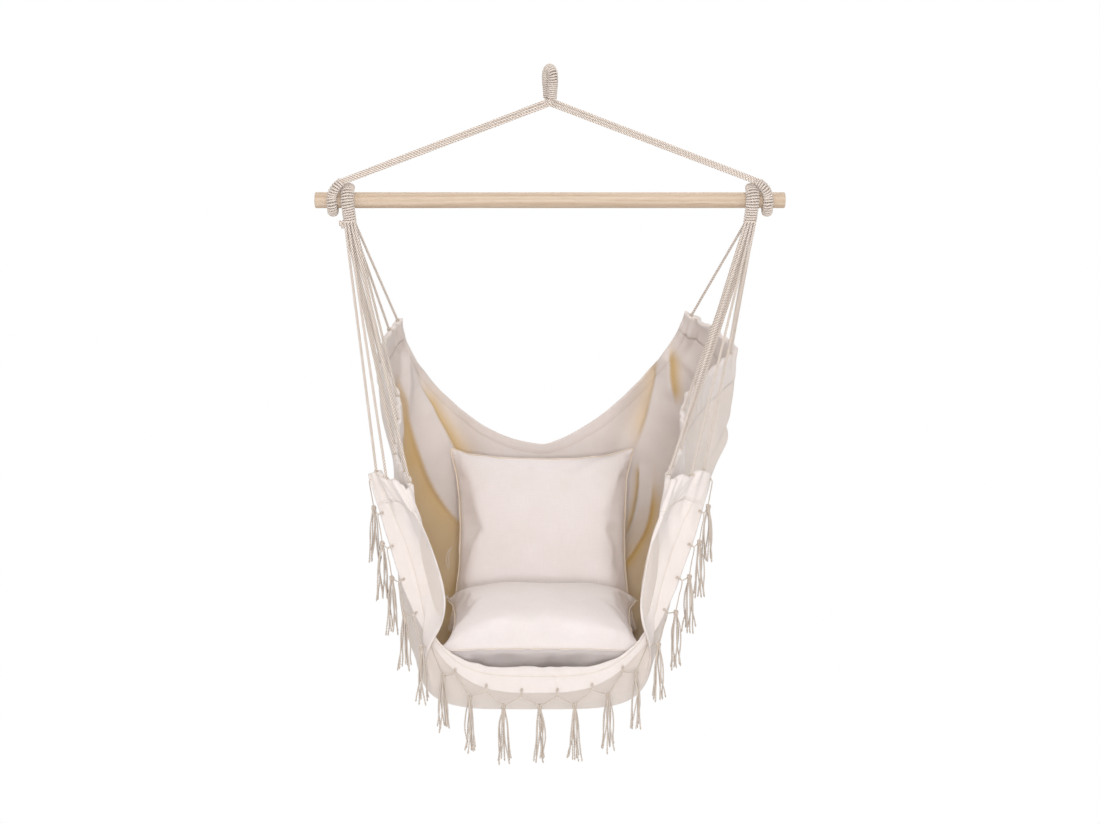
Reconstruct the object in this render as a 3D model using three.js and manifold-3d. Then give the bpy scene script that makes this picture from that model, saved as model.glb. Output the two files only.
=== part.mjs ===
// A hanging hammock chair: a whipped rope eye, two arms of cord, a wooden spreader bar, two fans of cord,
// a canvas sling with a fringe along its front hem, and two loose cushions in covers that open at the back.
// Millimetres, +Z up. The seat faces -Y, and the origin is where the hook bears inside the eye.
import * as THREE from "three";
import { mergeVertices } from "three/addons/utils/BufferGeometryUtils.js";
import Module from "manifold-3d";

const wasm = await Module();
wasm.setup();

// Fits
const gap = 0.4; // between two pieces that touch
const turnGap = 1.3; // between two turns of a whipping

// Spreader bar
const barLength = 1000;
const barRadius = 17;
const barEdge = 3;
const barDrop = 267; // from the hook to the bar's middle
const barSides = 24;

// Eye that the hook goes through
const eyeStrand = 11; // half the thickness of the whipped strand
const eyeSpread = 40; // between the middles of its two strands
const eyeFall = 50; // from the hook down to the strands' ends
const eyeTurnDeg = 70; // how far the eye is turned from the bar's direction
const eyeTurns = 15;
const eyeWhip = 6;

// Neck where the eye's cords divide into the arms
const neckRadius = 12;
const neckDrop = 59;
const neckSides = 12;

// Arms of cord from the neck to the bar
const armCord = 5.6;
const armSpread = 5.7; // between the middles of two cords of one arm

// Hitches round the bar: the arm makes an outer turn, then an inner turn that ends in a collar below the bar
const turnInset = 38; // from the bar's end in to the outer turn's middle
const outerTurnAt = barLength / 2 - turnInset;
const outerWide = 11.5; // half the bundle's width along the bar
const outerThick = 9; // half its thickness off the bar
const turnPitch = 33; // between the two turns' middles
const innerTurnAt = outerTurnAt - turnPitch;
const innerWide = 15;
const innerThick = 10;
const collarShift = 5; // from the inner turn's middle in to the collar's
const collarAt = innerTurnAt - collarShift;
const collarDrop = 44; // below the bar's middle
const collarGap = 2; // from the collar down to the fan cords
const hitchTurns = 12;
const whipCord = 5;
const ringSides = 8;

// Fans of cord from the collars to the sling's side hems
const fanCord = 5.6;
const fanPitch = 6.6; // between two cords where they leave the collar
const fanColumns = 4;
const fanSides = 6;

// Canvas sling, as it hangs
const clothThickness = 2.4;
const rimReach = 425; // from the sling's middle out to the furthest point of its side hem
const rimDepth = 250; // from the sling's middle back to the rear corners
const slingForward = 70; // the sling's middle hangs in front of the bar, so that the seat balances
const rearCornerDrop = 286; // below the bar's middle
const frontCornerDrop = 541;
const backEdgeDrop = 617;
const bowlDrop = 1080;
const slingShift = -17; // the seat hangs a little to one side of the hook
const bowlShift = -14; // and its lowest part a little more
const foldForward = 74; // how far each front fold stands forward
const creaseDepth = 16; // folds behind the back cushion's upper corners
const creaseWidth = 34;
const foldAtShare = 0.87; // where the front folds lie, of the way from the back hem to the front hem
const foldWideShare = 0.055;
const foldFoot = 236; // from the sling's middle out to the foot of each fold, beside the seat cushion
const clothAcross = 24; // squares of the cloth's net
const clothAlong = 18;
const frontCrowd = 0.38; // how much closer the net's rows lie towards the front hem

// Side hems: canvas turned over the cords and sewn down on both faces
const hemThickness = 1.8;
const hemTube = 4.7; // from the middle of a cord in the hem to the hem's inside

// Fringe along the front hem
const tassels = 17;
const tasselLength = 122;
const tasselDrop = 26; // from the hem to a tassel's knot
const tasselKnot = 5.5;
const tasselFoot = 10;
const tasselStand = 30; // how far the tassels beside the seat stand off the cloth behind them
const netCord = 1.6;

// Cushions
const cushionSide = 430; // between two corners
const cushionThick = 132;
const cushionSeam = 4;
const coverThickness = 2.5;
const cushionNet = 10;
const padNet = 7;
const coverSlit = 300; // length of the cover's opening
const seatFront = 372; // from under the bar forward to the seat cushion's front seam
const seatFrontDrop = 884; // below the bar's middle
const seatTiltDeg = 3.5;
const backFoot = 77; // from under the bar back to the back cushion's lower seam
const backFootDrop = 994;
const backLeanDeg = 28;
const coverInset = 7; // from the cover's outside to the filled pad

// Colours and finishes
const cotton = { color: 0xe0d2c6, roughness: 0.9, metalness: 0 };
const canvas = { color: 0xe6dcd4, roughness: 0.85, metalness: 0 };
const padding = { color: 0xf2f0ec, roughness: 0.95, metalness: 0 };
const pine = { color: 0xdfc7a6, roughness: 0.6, metalness: 0 };

// The middle of the sling from the back hem to the front hem: how far along, forward or back as a share of
// rimDepth, and height as a share of the fall from the back hem to the lowest point
const profileShares = [
  [0, 1.56, 0],
  [0.06, 1.56, 0.139],
  [0.132, 1.53, 0.309],
  [0.206, 1.45, 0.478],
  [0.284, 1.29, 0.647],
  [0.375, 1.03, 0.816],
  [0.469, 0.66, 0.932],
  [0.567, 0.24, 0.99],
  [0.666, -0.2, 1],
  [0.759, -0.64, 0.96],
  [0.85, -1, 0.85],
  [0.926, -1.21, 0.69],
  [0.963, -1.28, 0.634],
  [1, -1.354, 0.739],
];

// The side hems from the rear corner to the front corner: how far along, out as a share of rimReach, forward
// or back as a share of rimDepth, and height as a share of the fall from the rear corner to the front corner
const rightHemShares = [
  [0, 0.744, 1, -0.01],
  [0.08, 0.865, 0.86, 0.08],
  [0.17, 0.96, 0.61, 0.17],
  [0.23, 0.985, 0.46, 0.22],
  [0.38, 0.79, 0.14, 0.43],
  [0.46, 0.71, -0.12, 0.58],
  [0.56, 0.7, -0.4, 0.77],
  [0.64, 0.67, -0.6, 0.87],
  [0.8, 0.61, -0.94, 0.95],
  [0.84, 0.605, -1.03, 0.965],
  [0.875, 0.625, -1.07, 0.97],
  [0.93, 0.705, -0.97, 0.96],
  [1, 0.82, -0.79, 0.98],
];
const leftHemShares = [
  [0, 0.744, 1, 0.05],
  [0.08, 0.79, 0.89, 0.11],
  [0.17, 0.83, 0.64, 0.21],
  [0.23, 0.835, 0.48, 0.29],
  [0.38, 0.74, 0.16, 0.53],
  [0.46, 0.72, -0.06, 0.67],
  [0.56, 0.73, -0.36, 0.86],
  [0.64, 0.715, -0.56, 0.92],
  [0.8, 0.64, -0.9, 1.02],
  [0.84, 0.632, -1.01, 1.045],
  [0.875, 0.65, -1.06, 1.05],
  [0.93, 0.735, -0.96, 1.0],
  [1, 0.83, -0.79, 0.98],
];

// How square each cross section hangs on the left and on the right, from 1, a straight V, upwards
const squarenessShares = [
  [0, 1.75, 1.45],
  [0.1, 2, 1.9],
  [0.25, 3.4, 3.4],
  [0.5, 4.4, 4.4],
  [0.75, 4.8, 4.8],
  [0.87, 8, 8],
  [0.92, 8, 8],
  [0.96, 4.4, 4.4],
  [1, 3.2, 3.2],
];

// How far the front folds open at each height, from their foot at 0 to the side hems at 1
const foldShares = [
  [0, 0],
  [0.2, 0],
  [0.3, -0.35],
  [0.42, -0.95],
  [0.55, -1.05],
  [0.78, -0.3],
  [1, 1],
];

// Where each loop of fan cord goes into the hem and comes out, as shares of the net's rows
const loopShares = [
  [0.015, 0.07],
  [0.135, 0.193],
  [0.315, 0.388],
  [0.465, 0.525],
  [0.665, 0.745],
  [0.9, 0.96],
];

// Geometry helpers

const vec = (x, y, z) => new THREE.Vector3(x, y, z);
const radians = THREE.MathUtils.degToRad;

// A value table's row at a place, on a smooth curve through its rows; the first column is the place.
function along(table, at) {
  const last = table.length - 1;
  let i = 0;
  while (i < last - 1 && at > table[i + 1][0]) i++;
  const [from, to] = [table[i], table[i + 1]];
  const span = to[0] - from[0];
  const s = (at - from[0]) / span;
  const slope = (k, column) => {
    const [a, b] = [table[Math.max(k - 1, 0)], table[Math.min(k + 1, last)]];
    return (b[column] - a[column]) / (b[0] - a[0]);
  };
  return from.slice(1).map((_, n) => {
    const column = n + 1;
    const rise = to[column] - from[column];
    const [m0, m1] = [slope(i, column) * span, slope(i + 1, column) * span];
    return from[column] + s * (m0 + s * (3 * rise - 2 * m0 - m1 + s * (m0 + m1 - 2 * rise)));
  });
}

// A geometry of shared points whose triangles face out.
function body(points, triangles) {
  let volume = 0;
  for (let i = 0; i < triangles.length; i += 3) {
    const [a, b, c] = [points[triangles[i]], points[triangles[i + 1]], points[triangles[i + 2]]];
    volume += a.dot(b.clone().cross(c));
  }
  const index = volume < 0 ? [...triangles].reverse() : triangles;
  const geometry = new THREE.BufferGeometry();
  const flat = points.flatMap((p) => p.toArray());
  geometry.setAttribute("position", new THREE.Float32BufferAttribute(flat, 3));
  geometry.setIndex(index);
  return geometry;
}

// A closed tube through rings of equally many points, with a flat end on the first and the last ring.
function tube(rings) {
  const sides = rings[0].length;
  const triangles = [];
  for (let j = 0; j + 1 < rings.length; j++)
    for (let k = 0; k < sides; k++) {
      const [a, b] = [j * sides + k, j * sides + ((k + 1) % sides)];
      triangles.push(a, b, b + sides, a, b + sides, a + sides);
    }
  const top = (rings.length - 1) * sides;
  for (let k = 1; k + 1 < sides; k++) {
    triangles.push(0, k + 1, k);
    triangles.push(top, top + k, top + k + 1);
  }
  return body(rings.flat(), triangles);
}

// A closed shell between two grids of points of the same size. Squares in the turned columns are halved
// along their other diagonal.
function shell(face, back, turned = []) {
  const [rows, columns] = [face.length, face[0].length];
  const other = rows * columns;
  const at = (j, k) => j * columns + k;
  const triangles = [];
  const quad = (a, b, c, d) => triangles.push(a, b, c, a, c, d);
  for (let j = 0; j + 1 < rows; j++)
    for (let k = 0; k + 1 < columns; k++) {
      const ring = [at(j, k), at(j, k + 1), at(j + 1, k + 1), at(j + 1, k)];
      if (turned.includes(k)) ring.push(ring.shift());
      const [a, b, c, d] = ring;
      quad(a, b, c, d);
      quad(other + a, other + d, other + c, other + b);
    }
  for (let j = 0; j + 1 < rows; j++) {
    quad(at(j, 0), at(j + 1, 0), other + at(j + 1, 0), other + at(j, 0));
    const k = columns - 1;
    quad(at(j + 1, k), at(j, k), other + at(j, k), other + at(j + 1, k));
  }
  for (let k = 0; k + 1 < columns; k++) {
    quad(at(0, k + 1), at(0, k), other + at(0, k), other + at(0, k + 1));
    const j = rows - 1;
    quad(at(j, k), at(j, k + 1), other + at(j, k + 1), other + at(j, k));
  }
  return body([...face.flat(), ...back.flat()], triangles);
}

// A curve through its points with as many steps in a short stretch as in a long one.
class PointedCurve extends THREE.CatmullRomCurve3 {
  getPointAt(t, target) {
    return this.getPoint(t, target);
  }
  getTangentAt(t, target) {
    return this.getTangent(t, target);
  }
}

// A round cord through points, with the same number of steps from each point to the next.
function cord(points, radius, sides, stepsEach) {
  const corners = Array.from({ length: sides }, (_, k) => {
    const angle = (2 * Math.PI * k) / sides;
    return new THREE.Vector2(radius * Math.cos(angle), radius * Math.sin(angle));
  });
  return new THREE.ExtrudeGeometry(new THREE.Shape(corners), {
    steps: stepsEach * (points.length - 1),
    extrudePath: new PointedCurve(points, false, "centripetal"),
  });
}

// A geometry as a solid, and a solid as a geometry.
function solidOf(geometry) {
  const bare = geometry.clone();
  bare.deleteAttribute("normal");
  bare.deleteAttribute("uv");
  const merged = mergeVertices(bare);
  return new wasm.Manifold(
    new wasm.Mesh({
      numProp: 3,
      vertProperties: merged.attributes.position.array,
      triVerts: new Uint32Array(merged.index.array),
    }),
  );
}

function geometryOf(solid) {
  const mesh = solid.getMesh();
  const geometry = new THREE.BufferGeometry();
  geometry.setAttribute("position", new THREE.BufferAttribute(mesh.vertProperties, 3));
  geometry.setIndex(new THREE.BufferAttribute(mesh.triVerts, 1));
  return geometry;
}

const model = new THREE.Group();

function add(name, geometry, finish, parent = model) {
  const mesh = new THREE.Mesh(geometry, new THREE.MeshStandardMaterial(finish));
  mesh.name = name;
  parent.add(mesh);
  return mesh;
}

// Whipped bundles: an oval core along a path, and a cord wound round it

// The frame of a bundle's path at a share of its length: place, way along, way outwards and way across.
function bundleFrame(path, outwardAt, share) {
  const place = path.getPointAt(share);
  const ahead = path.getTangentAt(share).normalize();
  const rough = outwardAt(place);
  const outward = rough.addScaledVector(ahead, -rough.dot(ahead)).normalize();
  return { place, ahead, outward, across: ahead.clone().cross(outward) };
}

// A point of an oval round the path, at an angle from the outward way.
function ovalPoint(frame, angle, thick, wide) {
  return frame.place
    .clone()
    .addScaledVector(frame.outward, thick * Math.cos(angle))
    .addScaledVector(frame.across, wide * Math.sin(angle));
}

function bundleCore(path, outwardAt, thick, wide, whip, steps) {
  const rings = [];
  const inset = whip + 3 * gap;
  for (let j = 0; j <= steps; j++) {
    const frame = bundleFrame(path, outwardAt, j / steps);
    rings.push(
      Array.from({ length: ringSides }, (_, k) =>
        ovalPoint(frame, (2 * Math.PI * k) / ringSides, thick - inset, wide - inset),
      ),
    );
  }
  return tube(rings);
}

// One unbroken cord of four sides, as wide along the path as the room between its turns allows.
function bundleWhipping(name, path, outwardAt, thick, wide, whip, turns) {
  const half = whip / 2;
  const count = turns * ringSides;
  const frames = [];
  const middles = [];
  for (let i = 0; i <= count + ringSides; i++) {
    const share = Math.min(i / (count + ringSides), 1);
    frames.push(bundleFrame(path, outwardAt, share));
    middles.push(ovalPoint(frames[i], (2 * Math.PI * i) / ringSides, thick - half, wide - half));
  }
  const rings = [];
  for (let i = 0; i <= count; i++) {
    const here = middles[i];
    const next = middles[i + ringSides];
    const before = middles[Math.max(i - ringSides, 0)];
    const ahead = here.distanceTo(next);
    const room = i < ringSides ? ahead : Math.min(ahead, here.distanceTo(before));
    const side = Math.min(0.8 * whip, (room - turnGap) / 2);
    const frame = frames[i];
    const angle = (2 * Math.PI * i) / ringSides;
    const out = frame.outward.clone().multiplyScalar(Math.cos(angle));
    out.addScaledVector(frame.across, Math.sin(angle)).normalize();
    const corner = (high, on) =>
      here.clone().addScaledVector(out, high * half).addScaledVector(frame.ahead, on * side);
    rings.push([corner(1, 0.6), corner(1, -0.6), corner(-1, -1), corner(-1, 1)]);
  }
  let least = Infinity;
  for (let i = 0; i + ringSides <= count; i++)
    for (const p of rings[i])
      for (const q of rings[i + ringSides]) least = Math.min(least, p.distanceTo(q));
  console.log(`${name}: ${turns} turns, least gap between turns ${least.toFixed(2)} mm`);
  return tube(rings);
}

// The eye stands on its two strands and is turned about the hook.
function eyePath() {
  const half = eyeSpread / 2;
  const top = eyeStrand;
  const shoulder = top - half;
  const foot = eyeStrand + gap; // the strands close up at their ends
  const side = (s) => [
    vec(s * foot, 0, -eyeFall),
    vec(s * (foot + half) * 0.5, 0, (shoulder - eyeFall) / 2),
  ];
  const arch = [180, 145, 90, 35, 0].map((deg) => {
    const a = radians(deg);
    return vec(half * Math.cos(a), 0, shoulder + half * Math.sin(a));
  });
  return new THREE.CatmullRomCurve3([...side(-1), ...arch, ...side(1).reverse()], false, "centripetal");
}

function makeEye() {
  const eye = new THREE.Group();
  eye.rotation.z = -radians(eyeTurnDeg);
  model.add(eye);
  const path = eyePath();
  const shoulder = eyeStrand - eyeSpread / 2;
  const outwardAt = (p) => vec(p.x, 0, Math.max(p.z - shoulder, 0));
  const steps = 20;
  add("hanging_loop_core", bundleCore(path, outwardAt, eyeStrand, eyeStrand, eyeWhip, steps), cotton, eye);
  const whipping = bundleWhipping("eye", path, outwardAt, eyeStrand, eyeStrand, eyeWhip, eyeTurns);
  add("hanging_loop_whipping", whipping, cotton, eye);
}

function makeNeck() {
  const rows = neckSides / 2;
  const ball = new THREE.SphereGeometry(neckRadius, neckSides, rows);
  add("neck_seizing", ball, cotton).position.z = -neckDrop;
}

function makeBar() {
  const half = barLength / 2;
  const profile = [
    new THREE.Vector2(0, -half),
    new THREE.Vector2(barRadius - barEdge, -half),
    new THREE.Vector2(barRadius, barEdge - half),
    new THREE.Vector2(barRadius, half - barEdge),
    new THREE.Vector2(barRadius - barEdge, half),
    new THREE.Vector2(0, half),
  ];
  const bar = add("spreader_bar", new THREE.LatheGeometry(profile, barSides), pine);
  bar.rotation.z = Math.PI / 2;
  bar.position.z = -barDrop;
}

// A point by the bar: along it, at an angle up from the front, and away from its middle line.
function byBar(side, x, deg, away) {
  const a = radians(deg);
  return vec(side * x, -away * Math.cos(a), -barDrop + away * Math.sin(a));
}

const awayFromBar = (p) => vec(0, p.y, p.z + barDrop);
const outerAway = barRadius + 2 * gap + outerThick;
const innerAway = barRadius + 2 * gap + innerThick;
const crossingAway = barRadius + 2 * (innerThick + gap) + outerThick;

// The way round the bar as degrees from the front, over the top being positive, as the rope runs
function outerPath(side) {
  const between = (outerAway + crossingAway) / 2;
  const inward = outerTurnAt - innerWide / 2;
  return new THREE.CatmullRomCurve3(
    [
      byBar(side, innerTurnAt + outerWide, 64, crossingAway),
      byBar(side, inward, 48, between + outerThick / 3),
      byBar(side, outerTurnAt, 24, outerAway + gap),
      byBar(side, outerTurnAt, -12, outerAway),
      byBar(side, outerTurnAt, -55, outerAway),
      byBar(side, outerTurnAt, -100, outerAway),
      byBar(side, outerTurnAt - gap, -140, outerAway),
      byBar(side, (outerTurnAt + innerTurnAt + innerWide) / 2, -172, outerAway),
    ],
    false,
    "centripetal",
  );
}

function innerPath(side) {
  const start = (outerTurnAt + innerTurnAt + innerWide) / 2;
  return new THREE.CatmullRomCurve3(
    [
      byBar(side, start - outerThick / 4, -184, innerAway),
      byBar(side, (start + innerTurnAt) / 2, -212, innerAway),
      byBar(side, innerTurnAt + innerWide / 4, -242, innerAway),
      byBar(side, innerTurnAt, -275, innerAway),
      byBar(side, innerTurnAt, -318, innerAway),
      byBar(side, innerTurnAt, -360, innerAway),
      vec(side * (innerTurnAt + collarAt) * 0.5, -innerAway, -barDrop - collarDrop / 2),
      vec(side * collarAt, -innerAway, -barDrop - collarDrop),
    ],
    false,
    "centripetal",
  );
}

function makeHitch(side, label) {
  const outer = outerPath(side);
  const inner = innerPath(side);
  const steps = 18;
  const parts = [
    ["outer", outer, outerThick, outerWide],
    ["inner", inner, innerThick, innerWide],
  ];
  for (const [place, path, thick, wide] of parts) {
    const name = `${label}_${place}_turn`;
    add(`${name}_core`, bundleCore(path, awayFromBar, thick, wide, whipCord, steps), cotton);
    const whipping = bundleWhipping(name, path, awayFromBar, thick, wide, whipCord, hitchTurns);
    add(`${name}_whipping`, whipping, cotton);
  }
}

// Three cords of an arm lie one above the other, and the fourth lies behind them.
function makeArm(side, label) {
  const end = outerPath(side).getPointAt(0);
  const way = end.clone().sub(vec(0, 0, -neckDrop)).normalize();
  const to = end.clone().addScaledVector(way, -0.7 * armCord);
  const up = vec(0, 0, 1).addScaledVector(way, -way.z).normalize();
  const back = vec(0, 1, 0);
  const places = [
    [1, 0],
    [0, 0],
    [-1, 0],
    [0.5, 1],
  ];
  places.forEach(([high, deep], n) => {
    const offset = up.clone().multiplyScalar(high * armSpread).addScaledVector(back, deep * armSpread);
    // Each cord starts where it meets the neck.
    const off = Math.max(offset.length() - armCord / 2, 0);
    const from = vec(0, 0, -neckDrop).addScaledVector(way, Math.sqrt((neckRadius + gap) ** 2 - off ** 2));
    const points = [from, from.clone().lerp(to, 0.5), to].map((p) => p.clone().add(offset));
    add(`${label}_arm_cord_${n + 1}`, cord(points, armCord / 2, fanSides, 1), cotton);
  });
}

// The sling hangs between its two side hems

function hemPoint(side, share) {
  const [out, deep, fall] = along(side > 0 ? rightHemShares : leftHemShares, share);
  const drop = rearCornerDrop + fall * (frontCornerDrop - rearCornerDrop);
  return vec(side * out * rimReach, deep * rimDepth - slingForward, -barDrop - drop);
}

// A point of the cloth's middle layer: across from 0 at the middle to 1 at the side hem, and along from 0 at
// the back hem to 1 at the front hem.
function clothPoint(side, across, share) {
  const [deep, fall] = along(profileShares, share);
  const lowDrop = backEdgeDrop + fall * (bowlDrop - backEdgeDrop);
  const low = vec(0, deep * rimDepth - slingForward, -barDrop - lowDrop);
  const rim = hemPoint(side, share);
  const square = along(squarenessShares, share)[side > 0 ? 1 : 0];
  const angle = (across * Math.PI) / 2;
  const reach = (Math.sin(angle) ** square + Math.cos(angle) ** square) ** (-1 / square);
  const out = Math.sin(angle) * reach;
  const rise = 1 - Math.cos(angle) * reach;
  const nearFold = Math.exp(-(((share - foldAtShare) / foldWideShare) ** 2));
  const pastFold = Math.max((share - foldAtShare) / (1 - foldAtShare), 0);
  const open = THREE.MathUtils.lerp(along(foldShares, rise)[0], rise, pastFold);
  const drawn = THREE.MathUtils.lerp(foldFoot, Math.abs(rim.x), open);
  const wide = THREE.MathUtils.lerp(Math.abs(rim.x), drawn, pastFold > 0 ? 1 : nearFold);
  const forward = Math.sin(Math.PI * THREE.MathUtils.clamp(rise, 0, 1));
  const swing = rise ** (share < 0.5 ? 2 - 2 * share : 1);
  const point = vec(
    out * wide,
    THREE.MathUtils.lerp(low.y, rim.y, swing) - foldForward * forward * nearFold,
    THREE.MathUtils.lerp(low.z, rim.z, rise),
  );
  point.y += creaseDepth * creaseAt(point, share);
  point.x = side * point.x + slingShift + bowlShift * fall * (1 - rise) ** 2;
  return point;
}

// The crease that runs down from near each rear corner, past the back cushion's corner.
function creaseAt(point, share) {
  const top = vec(rimReach * 0.61, 0, -barDrop - rearCornerDrop - rimReach * 0.36);
  const foot = vec(rimReach * 0.4, 0, -barDrop - backEdgeDrop - rimReach * 0.1);
  const way = foot.clone().sub(top);
  const from = vec(point.x, 0, point.z).sub(top);
  const t = THREE.MathUtils.clamp(from.dot(way) / way.lengthSq(), 0, 1);
  const off = from.addScaledVector(way, -t).length() / creaseWidth;
  return share < 0.4 ? Math.exp(-off * off) : 0;
}

// The cloth's grid from the left hem to the right hem, with the way out of its upper face at each point.
function clothGrid() {
  const at = (k, j) => {
    const u = (2 * k) / clothAcross - 1;
    const t = j / clothAlong;
    return clothPoint(u < 0 ? -1 : 1, Math.abs(u), t * (1 + frontCrowd - frontCrowd * t));
  };
  const rows = [];
  for (let j = 0; j <= clothAlong; j++)
    rows.push(Array.from({ length: clothAcross + 1 }, (_, k) => at(k, j)));
  const normals = rows.map((row, j) =>
    row.map((_, k) => {
      const wide = row[Math.min(k + 1, clothAcross)].clone().sub(row[Math.max(k - 1, 0)]);
      const long = rows[Math.min(j + 1, clothAlong)][k].clone().sub(rows[Math.max(j - 1, 0)][k]);
      return long.cross(wide).normalize();
    }),
  );
  return { rows, normals };
}

const cloth = clothGrid();

const offset = (j, k, by) => cloth.rows[j][k].clone().addScaledVector(cloth.normals[j][k], by);

function makeSling() {
  const half = clothThickness / 2;
  const layer = (by) => cloth.rows.map((row, j) => row.map((_, k) => offset(j, k, by)));
  add("sling_cloth", shell(layer(half), layer(-half)), canvas);
}

// The frame of a side hem at a row of the cloth: the edge, the way on past it and the way out of the upper
// face.
function hemFrame(side, j) {
  const k = side > 0 ? clothAcross : 0;
  const edge = cloth.rows[j][k];
  const beyond = edge.clone().sub(cloth.rows[j][k - side]).normalize();
  const face = cloth.normals[j][k].clone();
  face.addScaledVector(beyond, -face.dot(beyond)).normalize();
  return { edge, beyond, face };
}

// Where a cord lies in the hem, at a share of the hem's length.
function hemCordPoint(side, share) {
  const at = share * clothAlong;
  const j = Math.min(Math.floor(at), clothAlong - 1);
  const middle = (row) => {
    const { edge, beyond } = hemFrame(side, row);
    return edge.clone().addScaledVector(beyond, hemTube);
  };
  return middle(j).lerp(middle(j + 1), at - j);
}

// The hem's outline from its edge on the upper face, over the cord, to its edge on the lower face.
function hemOutline(side, j, by) {
  const k = side > 0 ? clothAcross : 0;
  const close = clothThickness / 2 + gap + by;
  const { edge, beyond, face } = hemFrame(side, j);
  const middle = edge.clone().addScaledVector(beyond, hemTube);
  const round = [10, 90, 170].map((deg) =>
    middle
      .clone()
      .addScaledVector(face, (hemTube + by) * Math.cos(radians(deg)))
      .addScaledVector(beyond, (hemTube + by) * Math.sin(radians(deg))),
  );
  const leg = (sign) => [offset(j, k - side, sign * close), offset(j, k, sign * close)];
  return [...leg(1), ...round, ...leg(-1).reverse()];
}

// Fan cords: loops that start in a collar, run through the hem and come back to the collar

function collarPlace(side, n) {
  const [row, column] = [Math.floor(n / fanColumns), n % fanColumns];
  const x = collarAt + (column - (fanColumns - 1) / 2) * fanPitch;
  const y = -innerAway + (1 - row) * fanPitch;
  return vec(side * x, y, -barDrop - collarDrop - collarGap);
}

function loopPath(side, n) {
  const [into, outOf] = loopShares[n];
  const bends = Array.from({ length: clothAlong }, (_, j) => j / clothAlong);
  const shares = [into, ...bends.filter((at) => at > into && at < outOf), outOf];
  const low = shares.map((at) => hemCordPoint(side, at));
  // The rearmost loops leave the collar's back row, and the foremost its front row.
  const starts = [2 * n, 2 * n + 1].map((m) => collarPlace(side, m));
  const lead = collarDrop / 2;
  const leads = starts.map((p, m) => {
    const target = low[m === 0 ? 0 : low.length - 1];
    return p.clone().addScaledVector(target.clone().sub(p).normalize(), lead);
  });
  const bendIn = (m) => {
    const foot = low[m === 0 ? 0 : low.length - 1];
    const way = leads[m].clone().sub(foot).normalize();
    return foot.clone().addScaledVector(way, 2 * fanCord);
  };
  return [starts[0], leads[0], bendIn(0), ...low, bendIn(1), leads[1], starts[1]];
}

const holeRadius = (fanCord / 2 + 3 * gap) * Math.SQRT2; // of a hole of four sides

function makeSide(side, label) {
  const rows = Array.from({ length: clothAlong + 1 }, (_, j) => j);
  const outside = rows.map((j) => hemOutline(side, j, hemThickness));
  const inside = rows.map((j) => hemOutline(side, j, 0));
  const columns = outside[0].length - 1;
  let hem = solidOf(shell(outside, inside, side > 0 ? [columns - 1] : [0]));
  loopShares.forEach((_, n) => {
    const points = loopPath(side, n);
    add(`${label}_fan_loop_${n + 1}`, cord(points, fanCord / 2, fanSides, 1), cotton);
    for (const ends of [points.slice(2, 4), points.slice(-4, -2).reverse()]) {
      const [from, to] = ends;
      const past = to.clone().addScaledVector(to.clone().sub(from).normalize(), gap);
      hem = hem.subtract(solidOf(cord([from, past], holeRadius, 4, 1)));
    }
  });
  add(`${label}_side_hem`, geometryOf(hem), canvas);
}

// Fringe: a cord zigzags between the front hem and the tassels' knots

// Places spaced evenly along the front hem, each with the way on past the hem.
function frontHemPlaces(count) {
  const fine = 240;
  const at = (i, share) => {
    const u = (2 * i) / fine - 1;
    return clothPoint(u < 0 ? -1 : 1, Math.abs(u), share);
  };
  const points = Array.from({ length: fine + 1 }, (_, i) => at(i, 1));
  const lengths = [0];
  for (let i = 1; i <= fine; i++) lengths.push(lengths[i - 1] + points[i].distanceTo(points[i - 1]));
  return Array.from({ length: count }, (_, n) => {
    const want = (lengths[fine] * n) / (count - 1);
    const i = THREE.MathUtils.clamp(lengths.findIndex((l) => l >= want), 1, fine - 1);
    const before = 1 - clothThickness / rimDepth;
    return { place: points[i], beyond: points[i].clone().sub(at(i, before)).normalize() };
  });
}

// How far a point lies from the middle of a cord that runs straight between points.
function fromCord(point, points) {
  const runs = points.slice(1).map((end, i) => new THREE.Line3(points[i], end));
  const nearest = (run) => run.closestPointToPoint(point, true, vec(0, 0, 0));
  return Math.min(...runs.map((run) => nearest(run).distanceTo(point)));
}

function makeFringe() {
  const clear = clothThickness + 3 * netCord;
  const net = frontHemPlaces(2 * tassels + 1).map(({ place, beyond }, n) => {
    const knot = n % 2 === 1;
    const point = place.clone().addScaledVector(beyond, knot ? 2 * clear : clear);
    point.z -= knot ? tasselDrop : 0;
    point.y -= (knot ? tasselStand : 3 * clear) * Math.sin((Math.PI * n) / tassels) ** 2;
    return point;
  });
  add("fringe_net", cord(net, netCord, 5, 1), cotton);
  const sides = 6;
  const profile = [
    [tasselKnot * 0.5, 0],
    [tasselKnot, tasselKnot],
    [tasselKnot * 0.7, 2 * tasselKnot],
    [tasselFoot * 0.75, tasselLength * 0.45],
    [tasselFoot, tasselLength - tasselKnot],
    [tasselFoot * 0.7, tasselLength],
  ];
  for (let n = 0; n < tassels; n++) {
    const ringsUnder = (below) =>
      profile.map(([radius, down]) =>
        Array.from({ length: sides }, (_, k) => {
          const a = (2 * Math.PI * k) / sides;
          return net[2 * n + 1].clone().add(vec(radius * Math.cos(a), radius * Math.sin(a), -below - down));
        }),
      );
    // The head is brought up to the net's cord.
    let below = 3 * netCord;
    for (let i = 0; i < 6; i++) {
      const top = net[2 * n + 1].clone().add(vec(0, 0, -below));
      const near = [top, ...ringsUnder(below).slice(0, 2).flat()].map((p) => fromCord(p, net));
      below -= Math.min(...near) - netCord - gap / 2;
    }
    const rings = ringsUnder(below);
    add(`tassel_${String(n + 1).padStart(2, "0")}`, tube(rings), cotton);
  }
}

// Cushions: crowned squares whose sides draw in between the corners

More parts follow.
